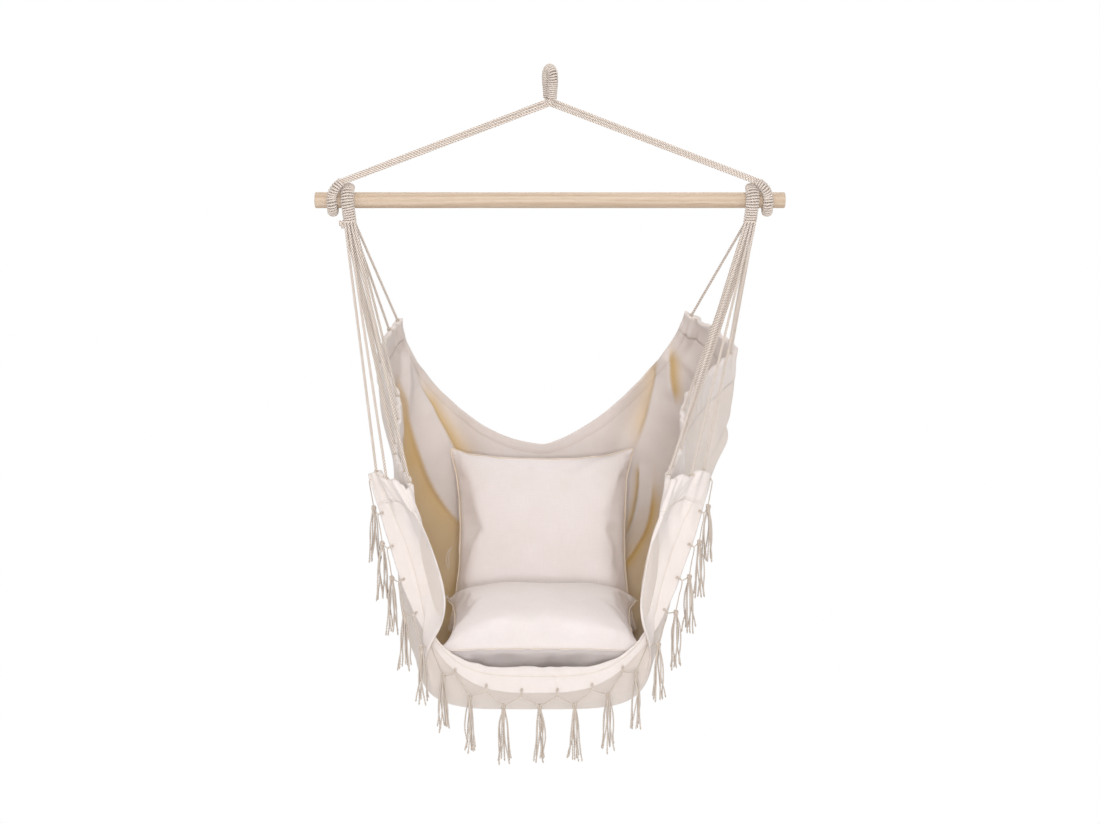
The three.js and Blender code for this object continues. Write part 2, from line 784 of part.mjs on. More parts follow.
function cushionShape(inset, net) {
  const half = cushionSide / 2 - inset;
  const crown = cushionThick / 2 - inset;
  const seam = Math.max(cushionSeam / 2 - inset / 4, cushionSeam / 8);
  const layer = (sign) =>
    Array.from({ length: net + 1 }, (_, j) =>
      Array.from({ length: net + 1 }, (_, k) => {
        const a = Math.sin(((k / net) * 2 - 1) * (Math.PI / 2));
        const b = Math.sin(((j / net) * 2 - 1) * (Math.PI / 2));
        const draw = 0.07;
        const x = half * a * (1 - draw * (1 - b * b));
        const y = half * b * (1 - draw * (1 - a * a));
        const swell = ((1 - a ** 4) * (1 - b ** 4)) ** 0.5;
        return vec(x, y, sign * (seam + (crown - seam) * swell));
      }),
    );
  return shell(layer(1), layer(-1));
}

function makeCushion(label, group) {
  model.add(group);
  const slit = new THREE.BoxGeometry(coverSlit, cushionSide / 4, cushionSeam / 2);
  slit.translate(0, -cushionSide / 2, 0);
  const outside = solidOf(cushionShape(0, cushionNet));
  const inside = solidOf(cushionShape(coverThickness, cushionNet));
  const cover = outside.subtract(inside).subtract(solidOf(slit));
  add(`${label}_cover`, geometryOf(cover), canvas, group);
  add(`${label}_pad`, cushionShape(coverInset, padNet), padding, group);
}

function makeCushions() {
  const half = cushionSide / 2;
  const seat = new THREE.Group();
  const tilt = radians(seatTiltDeg);
  // The opening is at the rear of the seat cushion and at the foot of the back cushion.
  seat.rotation.set(-tilt, 0, Math.PI, "XYZ");
  seat.position.set(
    slingShift,
    half * Math.cos(tilt) - seatFront,
    -barDrop - seatFrontDrop - half * Math.sin(tilt),
  );
  makeCushion("seat_cushion", seat);
  const back = new THREE.Group();
  const lean = radians(backLeanDeg);
  back.rotation.x = Math.PI / 2 - lean;
  back.position.set(
    slingShift,
    backFoot + half * Math.sin(lean),
    -barDrop - backFootDrop + half * Math.cos(lean),
  );
  makeCushion("back_cushion", back);
}

makeEye();
makeNeck();
makeBar();
for (const [side, label] of [
  [-1, "left"],
  [1, "right"],
]) {
  makeArm(side, label);
  makeHitch(side, label);
  makeSide(side, label);
}
makeSling();
makeFringe();
makeCushions();

export default model;
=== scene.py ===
"""A hanging hammock chair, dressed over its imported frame.

Lengths are in metres, in the part's own frame: the hook bears at the origin, the spreader bar runs
along X, the open front faces -Y and Z is up.
"""

import logging
import math
from dataclasses import dataclass, field
from enum import Enum
from typing import Any, Sequence

import bpy
import numpy as np
from mathutils import Euler, Matrix, Vector


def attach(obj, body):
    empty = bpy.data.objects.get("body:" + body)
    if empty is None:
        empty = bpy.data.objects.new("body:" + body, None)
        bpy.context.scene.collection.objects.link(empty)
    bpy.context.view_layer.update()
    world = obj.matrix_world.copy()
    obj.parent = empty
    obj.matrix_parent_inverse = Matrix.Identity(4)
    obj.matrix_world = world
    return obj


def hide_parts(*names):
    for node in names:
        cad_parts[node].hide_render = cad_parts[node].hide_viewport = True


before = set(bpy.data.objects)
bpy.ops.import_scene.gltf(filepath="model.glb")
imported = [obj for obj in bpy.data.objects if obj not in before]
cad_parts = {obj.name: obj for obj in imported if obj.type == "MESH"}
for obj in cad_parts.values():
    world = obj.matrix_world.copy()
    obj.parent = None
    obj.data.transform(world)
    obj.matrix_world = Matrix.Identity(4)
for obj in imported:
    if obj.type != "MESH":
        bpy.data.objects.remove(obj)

log = logging.getLogger("hammock_chair")

Array = np.ndarray
Colour = tuple[float, float, float, float]


# Sizes that several pieces share

BAR_DROP = 0.267
BAR_RADIUS = 0.017
GAP = 0.0004
PATH_STEP = 0.001

DOWN = np.array([0, 0, -1.0])
UP = np.array([0, 0, 1.0])
WHITE: Colour = (1.0, 1.0, 1.0, 1.0)


class Side(Enum):
    """A side of the chair as seen from the front."""

    LEFT = -1
    RIGHT = 1

    @property
    def label(self) -> str:
        """The word that begins the side's node names."""
        return self.name.lower()


class Body(Enum):
    """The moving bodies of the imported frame."""

    EYE = "eye"
    NECK = "neck"
    HANGER = "hanger"
    SEAT = "seat"
    SEAT_CUSHION = "seat_cushion"
    BACK_CUSHION = "back_cushion"


class Slot(Enum):
    """The record's material slots."""

    CANVAS = "canvas"
    CORD = "cotton_cord"
    WOOD = "pale_wood"
    FILLING = "filling"


def written(red: int, green: int, blue: int) -> Colour:
    """Turns a colour as it is written on a screen into the renderer's linear values.

    Args:
        red: From 0 to 255.
        green: From 0 to 255.
        blue: From 0 to 255.

    Returns:
        The linear colour with an alpha of 1.
    """
    def linear(level: int) -> float:
        """One channel's linear value."""
        c = level / 255
        return c / 12.92 if c <= 0.04045 else ((c + 0.055) / 1.055) ** 2.4

    return (linear(red), linear(green), linear(blue), 1.0)


# Curves and frames


def unit(v: Array) -> Array:
    """Scales vectors on the last axis to length 1."""
    return v / np.maximum(np.linalg.norm(v, axis=-1, keepdims=True), 1e-12)


def turns_round(count: int) -> Array:
    """The angles of a ring's points."""
    return 2 * math.pi * np.arange(count) / count


def run_along(path: Array) -> Array:
    """How far along a chain each of its points is."""
    return np.concatenate([[0.0], np.cumsum(np.linalg.norm(np.diff(path, axis=0), axis=1))])


def read_at(want: Array, run: Array, rows: Array) -> Array:
    """Reads rows of three numbers, known at some distances, at other distances."""
    return np.stack([np.interp(want, run, rows[:, k]) for k in range(3)], axis=1)


def evenly(path: Array, step: float) -> Array:
    """Places points at even steps along a chain of points.

    Args:
        path: The chain, one point a row.
        step: The wanted distance between two points.

    Returns:
        The new chain, whose ends are the old ones.
    """
    run = run_along(path)
    count = max(int(round(run[-1] / step)), 2)
    return read_at(np.linspace(0, run[-1], count + 1), run, path)


def eased(path: Array, step: float, reach: float) -> Array:
    """Rounds the corners of a chain of points.

    Args:
        path: The chain.
        step: The distance between two points of the result.
        reach: How long a corner's bend is.

    Returns:
        The rounded chain, evenly spaced, with its ends kept.
    """
    fine = evenly(path, step)
    half = max(int(reach / step / 2), 1)
    lead = fine[:1] + np.arange(-half, 0)[:, None] * (fine[1] - fine[0])
    tail = fine[-1:] + np.arange(1, half + 1)[:, None] * (fine[-1] - fine[-2])
    long = np.vstack([lead, fine, tail])
    kernel = np.ones(2 * half + 1) / (2 * half + 1)
    return np.stack([np.convolve(long[:, k], kernel, mode="valid") for k in range(3)], axis=1)


def curved(points: Sequence[Sequence[float]], step: float) -> Array:
    """Runs a smooth centripetal curve through points.

    Args:
        points: The points that the curve passes through.
        step: The distance between two points of the result.

    Returns:
        The curve as an evenly spaced chain.
    """
    p = np.asarray(points, float)
    q = np.vstack([2 * p[0] - p[1], p, 2 * p[-1] - p[-2]])
    pieces = []
    for a, b, c, d in zip(q[:-3], q[1:-2], q[2:-1], q[3:]):
        t1 = math.sqrt(float(np.linalg.norm(b - a)))
        t2 = t1 + math.sqrt(float(np.linalg.norm(c - b)))
        t3 = t2 + math.sqrt(float(np.linalg.norm(d - c)))
        t = np.linspace(t1, t2, 32, endpoint=False)[:, None]
        ab = a + (b - a) * t / t1
        bc = b + (c - b) * (t - t1) / (t2 - t1)
        cd = c + (d - c) * (t - t2) / (t3 - t2)
        abc = ab + (bc - ab) * t / t2
        bcd = bc + (cd - bc) * (t - t1) / (t3 - t1)
        pieces.append(abc + (bcd - abc) * (t - t1) / (t2 - t1))
    pieces.append(p[-1:])
    return evenly(np.vstack(pieces), step)


def frames_along(path: Array) -> tuple[Array, Array, Array]:
    """Carries a frame along a chain without twisting it.

    Args:
        path: The chain.

    Returns:
        The ways along, out and across at each point.
    """
    ahead = unit(np.gradient(path, axis=0))
    rough = UP if abs(ahead[0][2]) < 0.8 else np.array([1.0, 0, 0])
    out = np.empty_like(path)
    for i, way in enumerate(ahead):
        rough = rough - way * rough.dot(way)
        rough = rough / max(math.sqrt(float(rough.dot(rough))), 1e-12)
        out[i] = rough
    return ahead, out, np.cross(ahead, out)


class Ripples:
    """Smooth uneven waves along a length, the same in each run."""

    def __init__(self, seed: int, longest: float, shortest: float, waves: int = 7) -> None:
        """Chooses the waves.

        Args:
            seed: Chooses one pattern of many.
            longest: The longest wavelength.
            shortest: The shortest wavelength.
            waves: How many waves are summed.
        """
        chance = np.random.default_rng(seed)
        lengths = np.exp(np.linspace(math.log(longest), math.log(shortest), waves))
        self.pace = 2 * math.pi / lengths * chance.uniform(0.88, 1.12, waves)
        self.phase = chance.uniform(0, 2 * math.pi, waves)
        self.size = (lengths / longest) ** 0.5
        self.size /= math.sqrt(float((self.size**2).sum()) / 2)

    def at(self, x: Array) -> Array:
        """The sum of the waves at each place, mostly from -1 to 1."""
        x = np.asarray(x, float)[..., None]
        return (np.sin(x * self.pace + self.phase) * self.size).sum(axis=-1) * 0.6


# Meshes


class Skin:
    """Points and faces gathered into one mesh, with a flat place and a depth at each point, which sets the
    finish's painted shade.
    """

    def __init__(self) -> None:
        """Starts with nothing."""
        self.points: list[Array] = []
        self.quads: list[Array] = []
        self.tris: list[Array] = []
        self.flat: list[Array] = []
        self.depth: list[Array] = []
        self.count = 0

    def add(
        self,
        points: Array,
        quads: Array,
        tris: Array | None = None,
        flat: Array | None = None,
        depth: Array | None = None,
    ) -> None:
        """Adds a surface.

        Args:
            points: Its points, one a row.
            quads: Its four-sided faces as places in points.
            tris: Its three-sided faces.
            flat: Where each point lies on the material laid flat.
            depth: A value from 0 to 1 at each point that sets the finish's painted shade.
        """
        n = len(points)
        self.quads.append(quads + self.count)
        if tris is not None:
            self.tris.append(tris + self.count)
        self.points.append(points)
        self.flat.append(np.zeros((n, 2)) if flat is None else flat)
        self.depth.append(np.ones(n) if depth is None else depth)
        self.count += n

    def made(self, name: str) -> bpy.types.Object:
        """Makes the object.

        Args:
            name: The piece's name.

        Returns:
            The new object, shaded smooth, at the origin.
        """
        points = np.vstack(self.points)
        quads = np.vstack(self.quads)
        tris = np.vstack(self.tris) if self.tris else np.zeros((0, 3), int)
        corners = np.concatenate([quads.ravel(), tris.ravel()]).astype(np.int32)
        starts = np.concatenate([np.arange(len(quads)) * 4, 4 * len(quads) + np.arange(len(tris)) * 3])
        mesh = bpy.data.meshes.new(name)
        mesh.vertices.add(len(points))
        mesh.vertices.foreach_set("co", points.astype(np.float32).ravel())
        mesh.loops.add(len(corners))
        mesh.loops.foreach_set("vertex_index", corners)
        mesh.polygons.add(len(starts))
        mesh.polygons.foreach_set("loop_start", starts.astype(np.int32))
        mesh.update(calc_edges=True)
        mesh.validate()
        mesh.polygons.foreach_set("use_smooth", np.ones(len(mesh.polygons), bool))
        layer = mesh.uv_layers.new(name="flat")
        layer.data.foreach_set("uv", np.vstack(self.flat)[corners].astype(np.float32).ravel())
        value = mesh.attributes.new("depth", "FLOAT", "POINT")
        value.data.foreach_set("value", np.concatenate(self.depth).astype(np.float32))
        piece = bpy.data.objects.new(name, mesh)
        bpy.context.scene.collection.objects.link(piece)
        return piece


def way_out(net: Array) -> Array:
    """The way out of a net's upper face at each of its points."""
    return unit(np.cross(np.gradient(net, axis=0), np.gradient(net, axis=1)))


def net_quads(rows: int, columns: int, round_: bool = False) -> Array:
    """The four-sided faces of a net of points.

    Args:
        rows: Rows of points.
        columns: Points in a row.
        round_: Whether each row closes on itself.

    Returns:
        One face a row, as places in the flattened net, turned as row x column.
    """
    j, k = np.meshgrid(np.arange(rows - 1), np.arange(columns if round_ else columns - 1), indexing="ij")
    here, on = j * columns, (k + 1) % columns
    return np.stack([here + k, here + on, here + columns + on, here + columns + k], -1).reshape(-1, 4)


def add_tube(skin: Skin, rings: Array, flat: Array | None = None, depth: Array | None = None) -> None:
    """Adds a closed tube through rings of points.

    Args:
        skin: The mesh that it joins.
        rings: The rings, each counted from out towards across.
        flat: The flat place of each point, if it has a pattern.
        depth: The value that sets the finish's painted shade at each point, or 1 everywhere.
    """
    count, sides = rings.shape[:2]
    flat = np.zeros((count, sides, 2)) if flat is None else flat
    depth = np.ones((count, sides)) if depth is None else depth
    points = np.vstack([rings.reshape(-1, 3), rings[0].mean(0), rings[-1].mean(0)])
    last = count * sides
    k = np.arange(sides)
    on = (k + 1) % sides
    start = np.stack([np.full(sides, last), on, k], -1)
    end = np.stack([np.full(sides, last + 1), last - sides + k, last - sides + on], -1)
    places = np.vstack([flat.reshape(-1, 2), flat[0].mean(0), flat[-1].mean(0)])
    values = np.concatenate([depth.ravel(), [depth[0].mean(), depth[-1].mean()]])
    skin.add(points, net_quads(count, sides, True), np.vstack([start, end]), places, values)


@dataclass(frozen=True)
class Rope:
    """A laid cord: its radius, its strands, the length of a full twist, and how finely it is drawn."""

    radius: float
    lay: float
    strands: int = 3
    sides: int = 12
    rings: int = 8
    groove: float = 0.27
    taper: bool = True

    @property
    def step(self) -> float:
        """The distance between two rings."""
        return self.lay / self.rings

    def lay_along(self, skin: Skin, path: Array, turn: float = 0.0) -> None:
        """Lays the cord along a chain of points.

        Args:
            skin: The mesh that it joins.
            path: The chain, evenly spaced.
            turn: The twist at its start.
        """
        _, out, across = frames_along(path)
        run = run_along(path)
        angle = turns_round(self.sides)
        twist = 2 * math.pi * run / self.lay + turn
        lobe = np.abs(np.cos(self.strands * angle / 2))
        size = self.radius * (1 - self.groove + self.groove * lobe)
        whole = angle[None, :] + twist[:, None]
        end = np.ones(len(path))
        if self.taper:
            end[[0, -1]] = 0.55
        far = size[None, :] * end[:, None]
        rings = (
            path[:, None]
            + out[:, None] * (far * np.cos(whole))[..., None]
            + across[:, None] * (far * np.sin(whole))[..., None]
        )
        flat = np.stack(np.broadcast_arrays(angle[None, :] / (2 * math.pi), run[:, None] / self.lay), -1)
        # the lobe, low in the grooves between strands, sets the finish's painted groove shade
        add_tube(skin, rings, flat, np.broadcast_to(lobe[None, :], rings.shape[:2]))


HANGER_CORD = Rope(radius=0.0031, lay=0.0192, rings=14, groove=0.34)
WHIP_CORD = Rope(radius=0.0027, lay=0.0150, sides=9, rings=9, groove=0.32)
FINE_WHIP = Rope(radius=0.0023, lay=0.0120, sides=9, rings=8, groove=0.32)
NET_CORD = Rope(radius=0.0014, lay=0.0080, strands=2, sides=8, rings=7)
YARN = Rope(radius=0.0018, lay=0.0120, strands=2, sides=6, rings=6, groove=0.38)
YARN_KNOT = Rope(radius=0.0010, lay=0.006, strands=2, sides=5, rings=3, taper=False)
EYELET_THREAD = Rope(radius=0.0009, lay=0.003, strands=2, sides=6, rings=3, taper=False)
TIE_CORD = Rope(radius=0.0010, lay=0.004, strands=2, sides=6, rings=4)

STITCH_LENGTH = 0.0034
STITCH_PITCH = 0.0048
THREAD_RADIUS = 0.00042


def add_knot(skin: Skin, cord: Rope, at: Array, size: float) -> None:
    """Adds a small overhand knot.

    Args:
        skin: The mesh that it joins.
        cord: The cord that is knotted.
        at: The knot's middle.
        size: About half its width.
    """
    t = turns_round(60)
    far = size * (1 + 0.35 * np.cos(3 * t))
    path = np.stack([far * np.cos(2 * t), far * np.sin(2 * t) * 0.8, -size * 0.8 * np.sin(3 * t)], 1)
    cord.lay_along(skin, evenly(at + path, cord.step))


def add_stitches(skin: Skin, path: Array, face: Array) -> None:
    """Sews a run of lock stitches that stand a little out of the cloth.

    Args:
        skin: The mesh that they join.
        path: The seam.
        face: The way out of the cloth at each point of the seam.
    """
    length, pitch = STITCH_LENGTH, STITCH_PITCH
    run = run_along(path)
    want = np.arange(pitch, run[-1] - pitch, pitch)
    place = read_at(want, run, path)
    ahead = unit(read_at(want + pitch / 3, run, path) - place)
    out = unit(read_at(want, run, face))
    across = unit(np.cross(ahead, out))
    on = np.array([-0.5, -0.3, 0.3, 0.5]) * length
    thick = np.array([0.2, 1.0, 1.0, 0.2]) * THREAD_RADIUS
    angle = turns_round(5)
    for p, a, o, c in zip(place, ahead, out, across):
        round_ = o * np.cos(angle)[:, None] + c * np.sin(angle)[:, None]
        add_tube(skin, p + a * on[:, None, None] + round_[None] * thick[:, None, None])


# Finishes


class Value:
    """A socket's value in a material, on which Python's operators add Math nodes."""

    def __init__(self, nodes: "Nodes", socket: bpy.types.NodeSocket) -> None:
        """Holds the socket and the nodes that it is among."""
        self.nodes = nodes
        self.socket = socket

    def _math(self, operation: str, *values: Any) -> "Value":
        """Adds a Math node on these values and returns its result."""
        node = self.nodes.node("ShaderNodeMath", {"operation": operation}, dict(enumerate(values)))
        return Value(self.nodes, node.outputs[0])

    def __add__(self, other: Any) -> "Value":
        """self + other"""
        return self._math("ADD", self, other)

    def __radd__(self, other: Any) -> "Value":
        """other + self"""
        return self._math("ADD", other, self)

    def __sub__(self, other: Any) -> "Value":
        """self - other"""
        return self._math("SUBTRACT", self, other)

    def __rsub__(self, other: Any) -> "Value":
        """other - self"""
        return self._math("SUBTRACT", other, self)

    def __mul__(self, other: Any) -> "Value":
        """self * other"""
        return self._math("MULTIPLY", self, other)

    def __rmul__(self, other: Any) -> "Value":
        """other * self"""
        return self._math("MULTIPLY", other, self)

    def __pow__(self, other: Any) -> "Value":
        """self ** other"""
        return self._math("POWER", self, other)

    def sine(self) -> "Value":
        """The sine of the value."""
        return self._math("SINE", self)

    def most(self, other: Any) -> "Value":
        """The greater of the value and the other."""
        return self._math("MAXIMUM", self, other)


class Nodes:
    """The nodes of a material or the world while it is made, and the one way to add to them."""

    def __init__(self, tree: bpy.types.NodeTree) -> None:
        """Holds the tree that the nodes are in."""
        self.tree = tree

    def node(
        self,
        kind: str,
        settings: dict[str, Any] | None = None,
        inputs: dict[str | int, Any] | None = None,
    ) -> bpy.types.Node:
        """Adds any node.

        Args:
            kind: The node's type.
            settings: Its settings, such as a Math node's operation.
            inputs: The value or link of each socket, by name or place.

        Returns:
            The new node.
        """
        made = self.tree.nodes.new(kind)
        for name, value in (settings or {}).items():
            setattr(made, name, value)
        for key, value in (inputs or {}).items():
            self.give(made, key, value)
        return made

    def give(self, node: bpy.types.Node, key: str | int, value: Any) -> None:
        """Gives a node's socket a value or a link.

        Args:
            node: The node.
            key: The socket's name or place.
            value: A number or colour, or the value or socket that is linked to it.
        """
        if isinstance(value, Value):
            value = value.socket
        if isinstance(value, bpy.types.NodeSocket):
            self.tree.links.new(value, node.inputs[key])
        else:
            node.inputs[key].default_value = value

    def value(self, node: bpy.types.Node, output: str | int = 0) -> Value:
        """One of a node's results as a value."""
        return Value(self, node.outputs[output])

    def end(self, name: str, result: bpy.types.Node) -> None:
        """Links a node's result to the named output node."""
        self.give(self.tree.nodes[name], 0, result.outputs[0])


class Shader(Nodes):
    """A material while it is made, with a Principled surface."""

    def __init__(self, name: str) -> None:
        """Starts the material.

        Args:
            name: Its name.
        """
        self.material = bpy.data.materials.new(name)
        self.material.use_nodes = True
        super().__init__(self.material.node_tree)
        self.surface = self.tree.nodes["Principled BSDF"]

    def flat(self) -> tuple[Value, Value]:
        """Reads the mesh's flat places.

        Returns:
            The two ways across the material laid flat, in metres.
        """
        place = self.node("ShaderNodeUVMap", {"uv_map": "flat"})
        parts = self.node("ShaderNodeSeparateXYZ", {}, {0: place.outputs[0]})
        return self.value(parts, 0), self.value(parts, 1)

    def depth(self) -> Value:
        """The depth value that the mesh holds at each point, which sets the finish's painted shade."""
        return self.value(self.node("ShaderNodeAttribute", {"attribute_name": "depth"}), "Fac")

    def place(self, x: float = 1.0, y: float = 1.0, z: float = 1.0) -> bpy.types.NodeSocket:
        """The place on the object, scaled differently each way.

        Args:
            x: The scale along X.
            y: The scale along Y.
            z: The scale along Z.

        Returns:
            The place's socket.
        """
        at = self.node("ShaderNodeTexCoord").outputs["Object"]
        scaled = self.node("ShaderNodeVectorMath", {"operation": "MULTIPLY"}, {0: at, 1: (x, y, z)})
        return scaled.outputs[0]

    def noise(self, vector: Any, scale: float, detail: float = 3.0, rough: float = 0.5) -> Value:
        """A noise value from 0 to 1, read at the vector."""
        inputs = {"Vector": vector, "Scale": scale, "Detail": detail, "Roughness": rough}
        return self.value(self.node("ShaderNodeTexNoise", {}, inputs), 0)

    def mix(self, factor: Any, first: Any, second: Any) -> bpy.types.NodeSocket:
        """The socket of a mix of two colours or their sockets, from the first at 0 to the second at 1."""
        settings = {"data_type": "RGBA", "clamp_factor": True}
        return self.node("ShaderNodeMix", settings, {0: factor, 6: first, 7: second}).outputs[2]

    def hold(self, **values: Any) -> None:
        """Sets the surface's sockets that are the same all over; an underscore stands for a space."""
        for name, value in values.items():
            self.surface.inputs[name.replace("_", " ")].default_value = value

    def dress(self, colour: Any, roughness: Value, height: Value, depth: float) -> bpy.types.Material:
        """Joins the finish's values to its surface.

        Args:
            colour: The base colour.
            roughness: The roughness.
            height: The relief.
            depth: The relief's depth in metres.

        Returns:
            The finished material.
        """
        bump = self.node("ShaderNodeBump", {}, {"Strength": 0.6, "Distance": depth, "Height": height})
        for key, value in (("Base Color", colour), ("Roughness", roughness), ("Normal", bump.outputs[0])):
            self.give(self.surface, key, value)
        return self.material


@dataclass(frozen=True)
class CanvasFinish:
    """Plain-woven undyed cotton canvas: its colour, its thread, and a painted warm shade deep inside the
    folds.
    """

    colour: Colour = written(228, 219, 216)
    shade: Colour = written(218, 208, 201)
    # painted shade: a warm gold that stands in for the shade and bounced light deep inside the sling
    painted_warm_shade: Colour = written(208, 174, 106)
    # painted shade between the threads of the weave
    gap: Colour = (0.35, 0.3, 0.25, 1.0)
    pitch: float = 0.0011
    sheen: float = 0.15
    slubs: tuple[tuple[float, float], ...] = ((700.0, 45.0), (40.0, 760.0))

    def material(self, name: str) -> bpy.types.Material:
        """Makes the finish.

        Args:
            name: The material's name.

        Returns:
            The material.
        """
        s = Shader(name)
        across, along_ = s.flat()
        pace = 2 * math.pi / self.pitch
        over = (across * pace).sine() * (along_ * pace).sine() * 0.5 + 0.5
        warp, weft = (
            s.noise(s.node("ShaderNodeCombineXYZ", {}, {0: across * x, 1: along_ * y}).outputs[0], 1.0, 2.0)
            for x, y in self.slubs
        )
        threads = warp * 0.5 + weft * 0.5
        cloud = s.noise(s.place(), 9.0, 4.0, 0.6)
        base = s.mix(cloud * 1.4 - 0.2, self.shade, self.colour)
        # darker where the weave dips between threads (painted shade) and along slubs (the yarn's own tone)
        between = s.mix(0.5, self.shade, self.gap)
        base = s.mix((1 - over) * 0.16 + (threads - 0.5) * 0.5, base, between)
        # painted warm shade, mixed in where the mesh's depth value marks shade
        base = s.mix(s.depth(), base, self.painted_warm_shade)
        s.hold(Sheen_Weight=self.sheen, Specular_IOR_Level=0.25)
        return s.dress(base, threads * 0.14 + 0.76, over * 0.6 + threads * 0.6, 0.0005)


@dataclass(frozen=True)
class CordFinish:
    """Twisted cotton cord: pale strands with painted shade in the grooves between them, and loose fibres."""

    colour: Colour = written(234, 222, 213)
    cloudy: Colour = written(232, 221, 210)
    # painted shade in the grooves between strands
    groove: Colour = written(100, 78, 58)
    fibre: float = 900.0

    def material(self, name: str) -> bpy.types.Material:
        """Makes the finish.

        Args:
            name: The material's name.

        Returns:
            The material.
        """
        s = Shader(name)
        fibres = s.noise(s.place(z=0.6), self.fibre, 3.0, 0.6)
        cloud = s.noise(s.place(), 16.0, 3.0)
        # pale on the strands' crests, painted groove shade between them
        crest = s.depth() ** 0.65
        pale = s.mix(cloud * 1.3 - 0.2, self.cloudy, self.colour)
        base = s.mix(crest * (fibres * 0.3 + 0.85), self.groove, pale)
        s.hold(Sheen_Weight=0.2, Specular_IOR_Level=0.2)
        return s.dress(base, fibres * 0.15 + 0.8, fibres * 0.7 + crest * 0.5, 0.0004)


@dataclass(frozen=True)
class PlainFibre:
    """Undyed thread or filling without a visible lay."""

    colour: Colour = written(236, 230, 222)
    shade: Colour = written(214, 203, 190)

    def material(self, name: str) -> bpy.types.Material:
        """Makes the finish.

        Args:
            name: The material's name.

        Returns:
            The material.
        """
        s = Shader(name)
        fibres = s.noise(s.place(), 420.0, 4.0, 0.6)
        base = s.mix(fibres * 1.2 - 0.1, self.shade, self.colour)
        return s.dress(base, fibres * 0.1 + 0.84, fibres, 0.0004)


@dataclass(frozen=True)
class WoodFinish:
    """Pale straight-grained softwood, sanded and left dull."""

    colour: Colour = written(199, 180, 160)
    grain: Colour = written(173, 148, 122)
    pore: Colour = written(148, 120, 92)

    def material(self, name: str) -> bpy.types.Material:
        """Makes the finish.

        Args:
            name: The material's name.

        Returns:
            The material.
        """
        s = Shader(name)
        bend = s.noise(s.place(1.6, 9.0, 9.0), 1.0, 2.0)
        streak = s.noise(s.place(2.2, 95.0, 95.0), 1.0, 3.0, 0.55)
        at = s.node("ShaderNodeSeparateXYZ", {}, {0: s.place()})
        ring = (s.value(at, 2) * 620 + s.value(at, 1) * 240 + bend * 16).sine() * 0.5 + 0.5
        pores = s.noise(s.place(26.0, 900.0, 900.0), 1.0, 2.0)
        base = s.mix(ring * 0.42 + (streak - 0.4) * 0.9, self.colour, self.grain)
        base = s.mix((pores - 0.56) * 3.2, base, self.pore)
        return s.dress(base, streak * 0.16 + 0.5, pores * 0.6 + ring * 0.25, 0.0003)


class Finishes:
    """The finishes of the whole chair, made once."""

    def __init__(self) -> None:
        """Makes each material."""
        cover = CanvasFinish(written(235, 227, 226), written(226, 217, 213), pitch=0.0009)
        # the groove colours are painted shade between strands
        core = CordFinish(written(188, 170, 148), groove=written(120, 100, 80))
        yarn = CordFinish(written(211, 197, 185), groove=written(128, 108, 87))
        thread = PlainFibre(written(214, 200, 182), written(176, 158, 136))
        self.canvas = CanvasFinish().material("canvas")
        self.cover = cover.material("cover_cloth")
        self.cord = CordFinish().material("cotton_cord")
        self.core = core.material("cord_core")
        self.yarn = yarn.material("soft_yarn")
        self.thread = thread.material("sewing_thread")
        self.filling = PlainFibre().material("pad_cloth")
        self.wood = WoodFinish().material("pale_wood")


def dressed(
    piece: bpy.types.Object, finish: bpy.types.Material, body: Body, node: str = ""
) -> bpy.types.Object:
    """Gives a piece its finish, its body and the node that it stands for.

    Args:
        piece: The object.
        finish: Its material.
        body: The body that it moves with.
        node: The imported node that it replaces, if any.

    Returns:
        The same object.
    """
    piece.data.materials.clear()
    piece.data.materials.append(finish)
    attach(piece, body.value)
    if node:
        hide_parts(node)
    log.info("%s: %d faces on %s", piece.name, len(piece.data.polygons), body.value)
    return piece


# The hung cloth's form


def table(*rows: tuple[float, ...]) -> Any:
    """A class's field that holds a table of values, one row a place."""
    return field(default_factory=lambda: np.array(rows, float))


def along(rows: Array, at: Array) -> Array:
    """Reads a value table on a smooth curve through its rows.

    Args:
        rows: One row a place; the first column is the place.
        at: The places that are wanted.

    Returns:
        The other columns at each place, on a new last axis.
    """
    place, value = rows[:, 0], rows[:, 1:]
    last = len(rows) - 1
    k = np.arange(last + 1)
    before, after = np.maximum(k - 1, 0), np.minimum(k + 1, last)
    slope = (value[after] - value[before]) / (place[after] - place[before])[:, None]
    at = np.asarray(at, float)
    i = np.clip(np.searchsorted(place, at, side="left") - 1, 0, last - 1)
    span = (place[i + 1] - place[i])[..., None]
    s = (at - place[i])[..., None] / span
    rise = value[i + 1] - value[i]
    m0, m1 = slope[i] * span, slope[i + 1] * span
    return value[i] + s * (m0 + s * (3 * rise - 2 * m0 - m1 + s * (m0 + m1 - 2 * rise)))


def bell(x: Array, middle: float, width: float) -> Array:
    """A smooth rise to 1 at the middle."""
    return np.exp(-(((x - middle) / width) ** 2))


class FoldForm(Enum):
    """A fold's section."""

    ROUND = "round"
    TURNED = "turned"
    LAPPED = "lapped"


